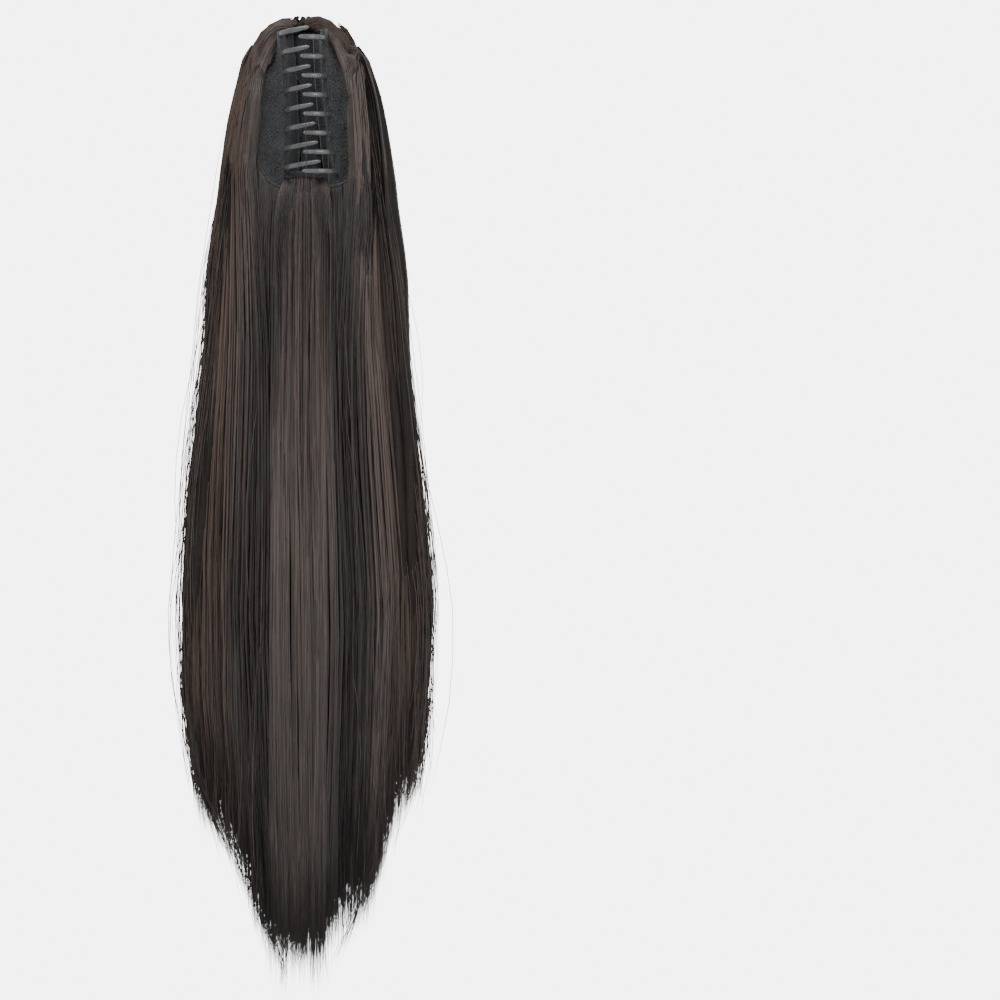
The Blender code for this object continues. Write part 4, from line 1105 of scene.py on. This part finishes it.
def crown_arch(paths, outward, side):
    """The first stations of a side fall's strands, moved on to a cubic curve: from the notch over
    the clip, up over a hump in front of the rim, and down beside the clip. Outward is 0 for the
    strands next to the clip and 1 for those along the outline."""
    w = outward[:, None]
    step = ARCH_STEPS[None]
    goal = paths[:, len(ARCH_STEPS) - 1]
    corners = [(inner + (outer - inner) * w) * MM for inner, outer in np.array(CROWN_HUMPS[side])]
    goal_y = goal[:, 1:2]
    start = np.column_stack([corners[0][:, :1], (4 + 2 * w) * MM, corners[0][:, 1:]])
    first = np.column_stack([corners[1][:, :1], (1 + 3 * w) * MM, corners[1][:, 1:]])
    second = np.column_stack([corners[2][:, :1], goal_y - 1.5 * MM * (1 - w), corners[2][:, 1:]])
    start = start + dice.normal(0, 0.7, (len(paths), 3)) * MM
    first = first + dice.normal(0, 0.8, (len(paths), 3)) * MM
    a, b, c, d = (point[:, None] for point in (start, first, second, goal))
    t = step[..., None]
    paths[:, :len(ARCH_STEPS)] = ((1 - t) ** 3 * a + 3 * t * (1 - t) ** 2 * b
                                  + 3 * t * t * (1 - t) * c + t ** 3 * d)
    return clear_of_cap(paths, 1.2 * MM, mouth=0.72)


def lay_hair(name, paths, radii, tone, warm, most=2600):
    """Puts strands into as many pieces as keep each one light."""
    pieces = int(np.ceil(len(paths) / most))
    for number, rows in enumerate(np.array_split(np.arange(len(paths)), pieces)):
        thin_strands(f"{name}_{number + 1}", paths[rows], radii[rows], loose_hair, "root",
                     {"tone": tone[rows], "warm": warm[rows]})


lay_hair("hair_outer_strands", *combed_fall("outer", *FULLNESS["outer"], OUTER_LOCKS))
for fall, side in (("left", -1), ("right", 1)):
    paths, radii, tone, warm = combed_fall(fall, *FULLNESS[fall], SIDE_LOCKS, 0.0, 1.0,
                                           SIDE_STATIONS)
    # How far out each strand is where the arch ends, by which it finds its way over the crown
    beside = np.abs(paths[:, len(ARCH_STEPS) - 1, 0])
    outward = np.clip((beside - beside.min()) / np.ptp(beside), 0, 1)
    arched = np.arange(len(paths)) % 10 < 8
    paths[arched] = crown_arch(paths[arched], outward[arched], side)
    lay_hair(f"hair_{fall}_strands", paths, radii, tone, warm)
lay_hair("hair_under_strands", *combed_fall("under", *FULLNESS["under"], UNDER_LOCKS))

# Strands sewn along the lower half of the rim, which fill the channels beside the middle; their low
# tone is painted shade there
RIM_STRANDS = 620
angle = dice.uniform(0.56, 0.97, RIM_STRANDS) * np.pi * np.sign(dice.normal(size=RIM_STRANDS))
sewn = leaned(cap_surface(angle, np.radians(90), -0.6 * MM))
end = dice.uniform(0.55, 0.86, RIM_STRANDS)
share = STATIONS[None]
z = sewn[:, 2:] - (end[:, None] * HAIR_DROP + sewn[:, 2:]) * share
corner = np.abs(np.abs(angle) / np.pi - 0.56)[:, None] / 0.41
level = np.sign(angle)[:, None] * hair_at("inner", z) * (1.55 - 0.80 * corner)
ease = np.clip((sewn[:, 2:] - z) / (95.0 * MM), 0, 1)
ease = ease * ease * (3 - 2 * ease)
paths = np.stack([sewn[:, :1] + (level - sewn[:, :1]) * ease, 0 * z, z], -1)
bow = np.sqrt(np.clip(1 - (paths[..., 0] / hair_at("width", z)) ** 2, 0, 1))
depth = (hair_at("front", z) - hair_at("parting", z)) * dice.uniform(0.70, 0.95, (RIM_STRANDS, 1))
face = hair_at("parting", z) + depth * bow
paths[..., 1] = (sewn[:, 1:2] - 2.2 * MM) * (1 - ease) + face * ease
paths[..., 0] += dice.normal(0, 0.8, (RIM_STRANDS, 1)) * MM * np.sin(6 * share + angle[:, None] * 9)
radii = dice.uniform(0.24, 0.40, (RIM_STRANDS, 1)) * MM
radii = radii * np.interp(share, (0, 0.01, 0.8, 1), (0.7, 1, 0.9, 0.45))
# Low tones: painted shade in the channels beside the middle
tone = np.clip(dice.normal(0.22, 0.16, (RIM_STRANDS, 1)), 0, 0.8) + 0 * z
warm = dice.uniform(0, 0.3, (RIM_STRANDS, 1)) + 0 * z
lay_hair("hair_rim_strands", paths, radii, tone, warm)


# Flyaway fibres: single fine hairs that have worked loose from the falls. Most lie along the two
# side edges, and each one bows outwards and bends a little.

FLYAWAYS = 700
share = STATIONS[None]
behind = dice.random(FLYAWAYS) < 0.5
place = np.where(dice.random(FLYAWAYS) < 0.7, np.sign(dice.normal(size=FLYAWAYS))
                 * dice.uniform(0.85, 1.0, FLYAWAYS), dice.uniform(-1, 1, FLYAWAYS))
top = dice.uniform(-330, 0, FLYAWAYS) * MM
bottom = top - dice.uniform(120, 300, FLYAWAYS) * MM
bottom = np.maximum(bottom, -(0.80 + 0.2 * (1 - np.abs(place))) * HAIR_DROP)
z = top[:, None] + (bottom - top)[:, None] * share
back = hair_point("outer", place[:, None], 1.0, z)
ahead = back.copy()
ahead[..., 1] = hair_at("parting", z) - (ahead[..., 1] - hair_at("parting", z)) * 0.8
paths = np.where(behind[:, None, None], back, ahead)
off = (dice.gamma(2.0, 1.6, (FLYAWAYS, 1)) * MM) * np.sin(np.pi * np.clip(share * 0.75, 0, 1))
bend = dice.normal(0, 2.2, (FLYAWAYS, 1)) * MM
bend = bend * np.sin(dice.uniform(2, 6, (FLYAWAYS, 1)) * share + dice.uniform(0, 6, (FLYAWAYS, 1)))
paths[..., 0] += np.sign(place)[:, None] * off * np.abs(place)[:, None] + bend
paths[..., 1] += np.where(behind, 1, -1)[:, None] * off * (1.1 - np.abs(place))[:, None]
radii = dice.uniform(0.13, 0.24, (FLYAWAYS, 1)) * MM
radii = radii * np.interp(share, (0, 0.1, 0.8, 1), (0.4, 1, 1, 0.4))
tone = dice.uniform(0.3, 0.9, (FLYAWAYS, 1)) + 0 * z
thin_strands("hair_flyaways", paths, radii, loose_hair, "root",
             {"tone": tone, "warm": dice.uniform(0, 0.6, (FLYAWAYS, 1))})


# Split ends: short fine hairs of uneven length that stand round the tapering points of the falls,
# bent a little outwards. The longest stop just below the longest locks.

SPLIT_ENDS = 900
SPLIT_LOWEST = 1.035
SPLIT_REACH = HAIR_HALF_SPREAD + 9 * MM
share = np.linspace(0, 1, 8)[None]
place = dice.uniform(-1.0, 1.0, SPLIT_ENDS)
place = np.sign(place) * np.abs(place) ** 0.6
end = np.interp(place, *ENDS.T) + ENDS_BEYOND
top = -(end - dice.uniform(0.10, 0.22, SPLIT_ENDS)) * HAIR_DROP
bottom = -np.minimum(end + dice.uniform(-0.05, 0.045, SPLIT_ENDS), SPLIT_LOWEST) * HAIR_DROP
z = top[:, None] + (bottom - top)[:, None] * share
x = (place * HAIR_HALF_SPREAD)[:, None] + 0 * z
inside = hair_at("width", z)
x = np.clip(x, -inside, inside) * (1 - 0.03 * share)
away = np.sign(place)[:, None] * np.abs(place)[:, None] ** 0.5
x = x + away * dice.gamma(1.6, 2.2, (SPLIT_ENDS, 1)) * MM * share ** 2
x = x + dice.normal(0, 2.2, (SPLIT_ENDS, 1)) * MM * share ** 2
paths = np.stack([np.clip(x, -SPLIT_REACH, SPLIT_REACH), hair_at("parting", z), z], -1)
paths[..., 1] += dice.normal(0, 6.0, (SPLIT_ENDS, 1)) * MM
paths[..., 1] += dice.normal(0, 3.0, (SPLIT_ENDS, 1)) * MM * share
radii = dice.uniform(0.11, 0.20, (SPLIT_ENDS, 1)) * MM
radii = radii * np.interp(share, (0, 0.2, 0.8, 1), (0.4, 1, 1, 0.5))
tone = dice.uniform(0.1, 0.7, (SPLIT_ENDS, 1)) + 0 * z
thin_strands("hair_split_ends", paths, radii, loose_hair, "root",
             {"tone": tone, "warm": dice.uniform(0, 0.5, (SPLIT_ENDS, 1)) + 0 * z})


# The studio: a plain pale floor that fades into a pale surround, large soft lights in front, beside
# and behind, a small one for the glints on the teeth, and a long lens straight in front of the hair.

FLOOR_Z = -0.60
FLOOR_RADIUS = 2.0
# Distances from the middle between which the floor fades out
FLOOR_FADE = (0.64, 0.86)
# The pale surround's strength as a light, and as it is seen
SURROUND_LIGHT = 1.0
SURROUND_SEEN = 5.8


def pale_floor():
    """Pale matt paper with a faint tooth. It fades out from the middle, so it has no edge."""
    material, tree, shader, place = new_material("studio_paper")
    grain = fine_noise(tree, 60.0, (1.0, 1.0, 1.0), 4.0, place)
    tree.links.new(ramp(tree, grain, ((0.3, (0.86, 0.86, 0.86)), (0.7, (0.90, 0.90, 0.90)))),
                   shader.inputs["Base Color"])
    shader.inputs["Roughness"].default_value = 0.9
    away = tree.nodes.new("ShaderNodeVectorMath")
    away.operation = "LENGTH"
    tree.links.new(place, away.inputs[0])
    tree.links.new(spread(tree, away.outputs["Value"], 1.0, 0.0, *FLOOR_FADE),
                   shader.inputs["Alpha"])
    return material


turn = np.linspace(0, 2 * np.pi, 64, endpoint=False)
disc = bpy.data.meshes.new("floor")
edge = np.column_stack([FLOOR_RADIUS * np.cos(turn), FLOOR_RADIUS * np.sin(turn), np.full(64, FLOOR_Z)])
disc.from_pydata(edge.tolist(), [], [list(range(64))])
disc.materials.append(pale_floor())
floor = bpy.data.objects.new("floor", disc)
bpy.context.scene.collection.objects.link(floor)

world = bpy.data.worlds.new("pale_surround")
world.use_nodes = True
surround = world.node_tree.nodes["Background"]
surround.inputs["Color"].default_value = (1.0, 1.0, 1.0, 1.0)
ray = world.node_tree.nodes.new("ShaderNodeLightPath")
strength = spread(world.node_tree, ray.outputs["Is Camera Ray"], SURROUND_LIGHT, SURROUND_SEEN, 0, 1)
world.node_tree.links.new(strength, surround.inputs["Strength"])
bpy.context.scene.world = world


def soft_light(name, place, aim, size, power):
    """A square area light at a place, turned to face a point."""
    light = bpy.data.lights.new(name, "AREA")
    light.size = size
    light.energy = power
    lamp = bpy.data.objects.new(name, light)
    lamp.location = place
    direction = np.array(aim) - np.array(place)
    yaw = np.arctan2(direction[0], -direction[1])
    tilt = np.arctan2(np.hypot(direction[0], direction[1]), -direction[2])
    lamp.rotation_euler = (tilt, 0.0, yaw + np.pi)
    bpy.context.scene.collection.objects.link(lamp)


soft_light("key", (-0.7, -1.5, 1.1), (0, 0, -0.15), 0.7, 16.0)
soft_light("fill", (1.3, -1.2, 0.4), (0, 0, -0.25), 0.9, 7.0)
soft_light("back", (0.1, 1.7, 1.4), (0, 0, -0.2), 1.2, 8.0)
soft_light("glint", (-0.35, -1.6, 0.55), (0, 0, 0), 0.10, 3.0)

camera = bpy.data.cameras.new("camera")
camera.lens = 200
camera.sensor_width = 36
camera.clip_start, camera.clip_end = 0.1, 20
view = bpy.data.objects.new("camera", camera)
view.location = (0.116, -3.333, -0.2388)
view.rotation_euler = (np.pi / 2, 0, 0)
bpy.context.scene.collection.objects.link(view)
bpy.context.scene.camera = view
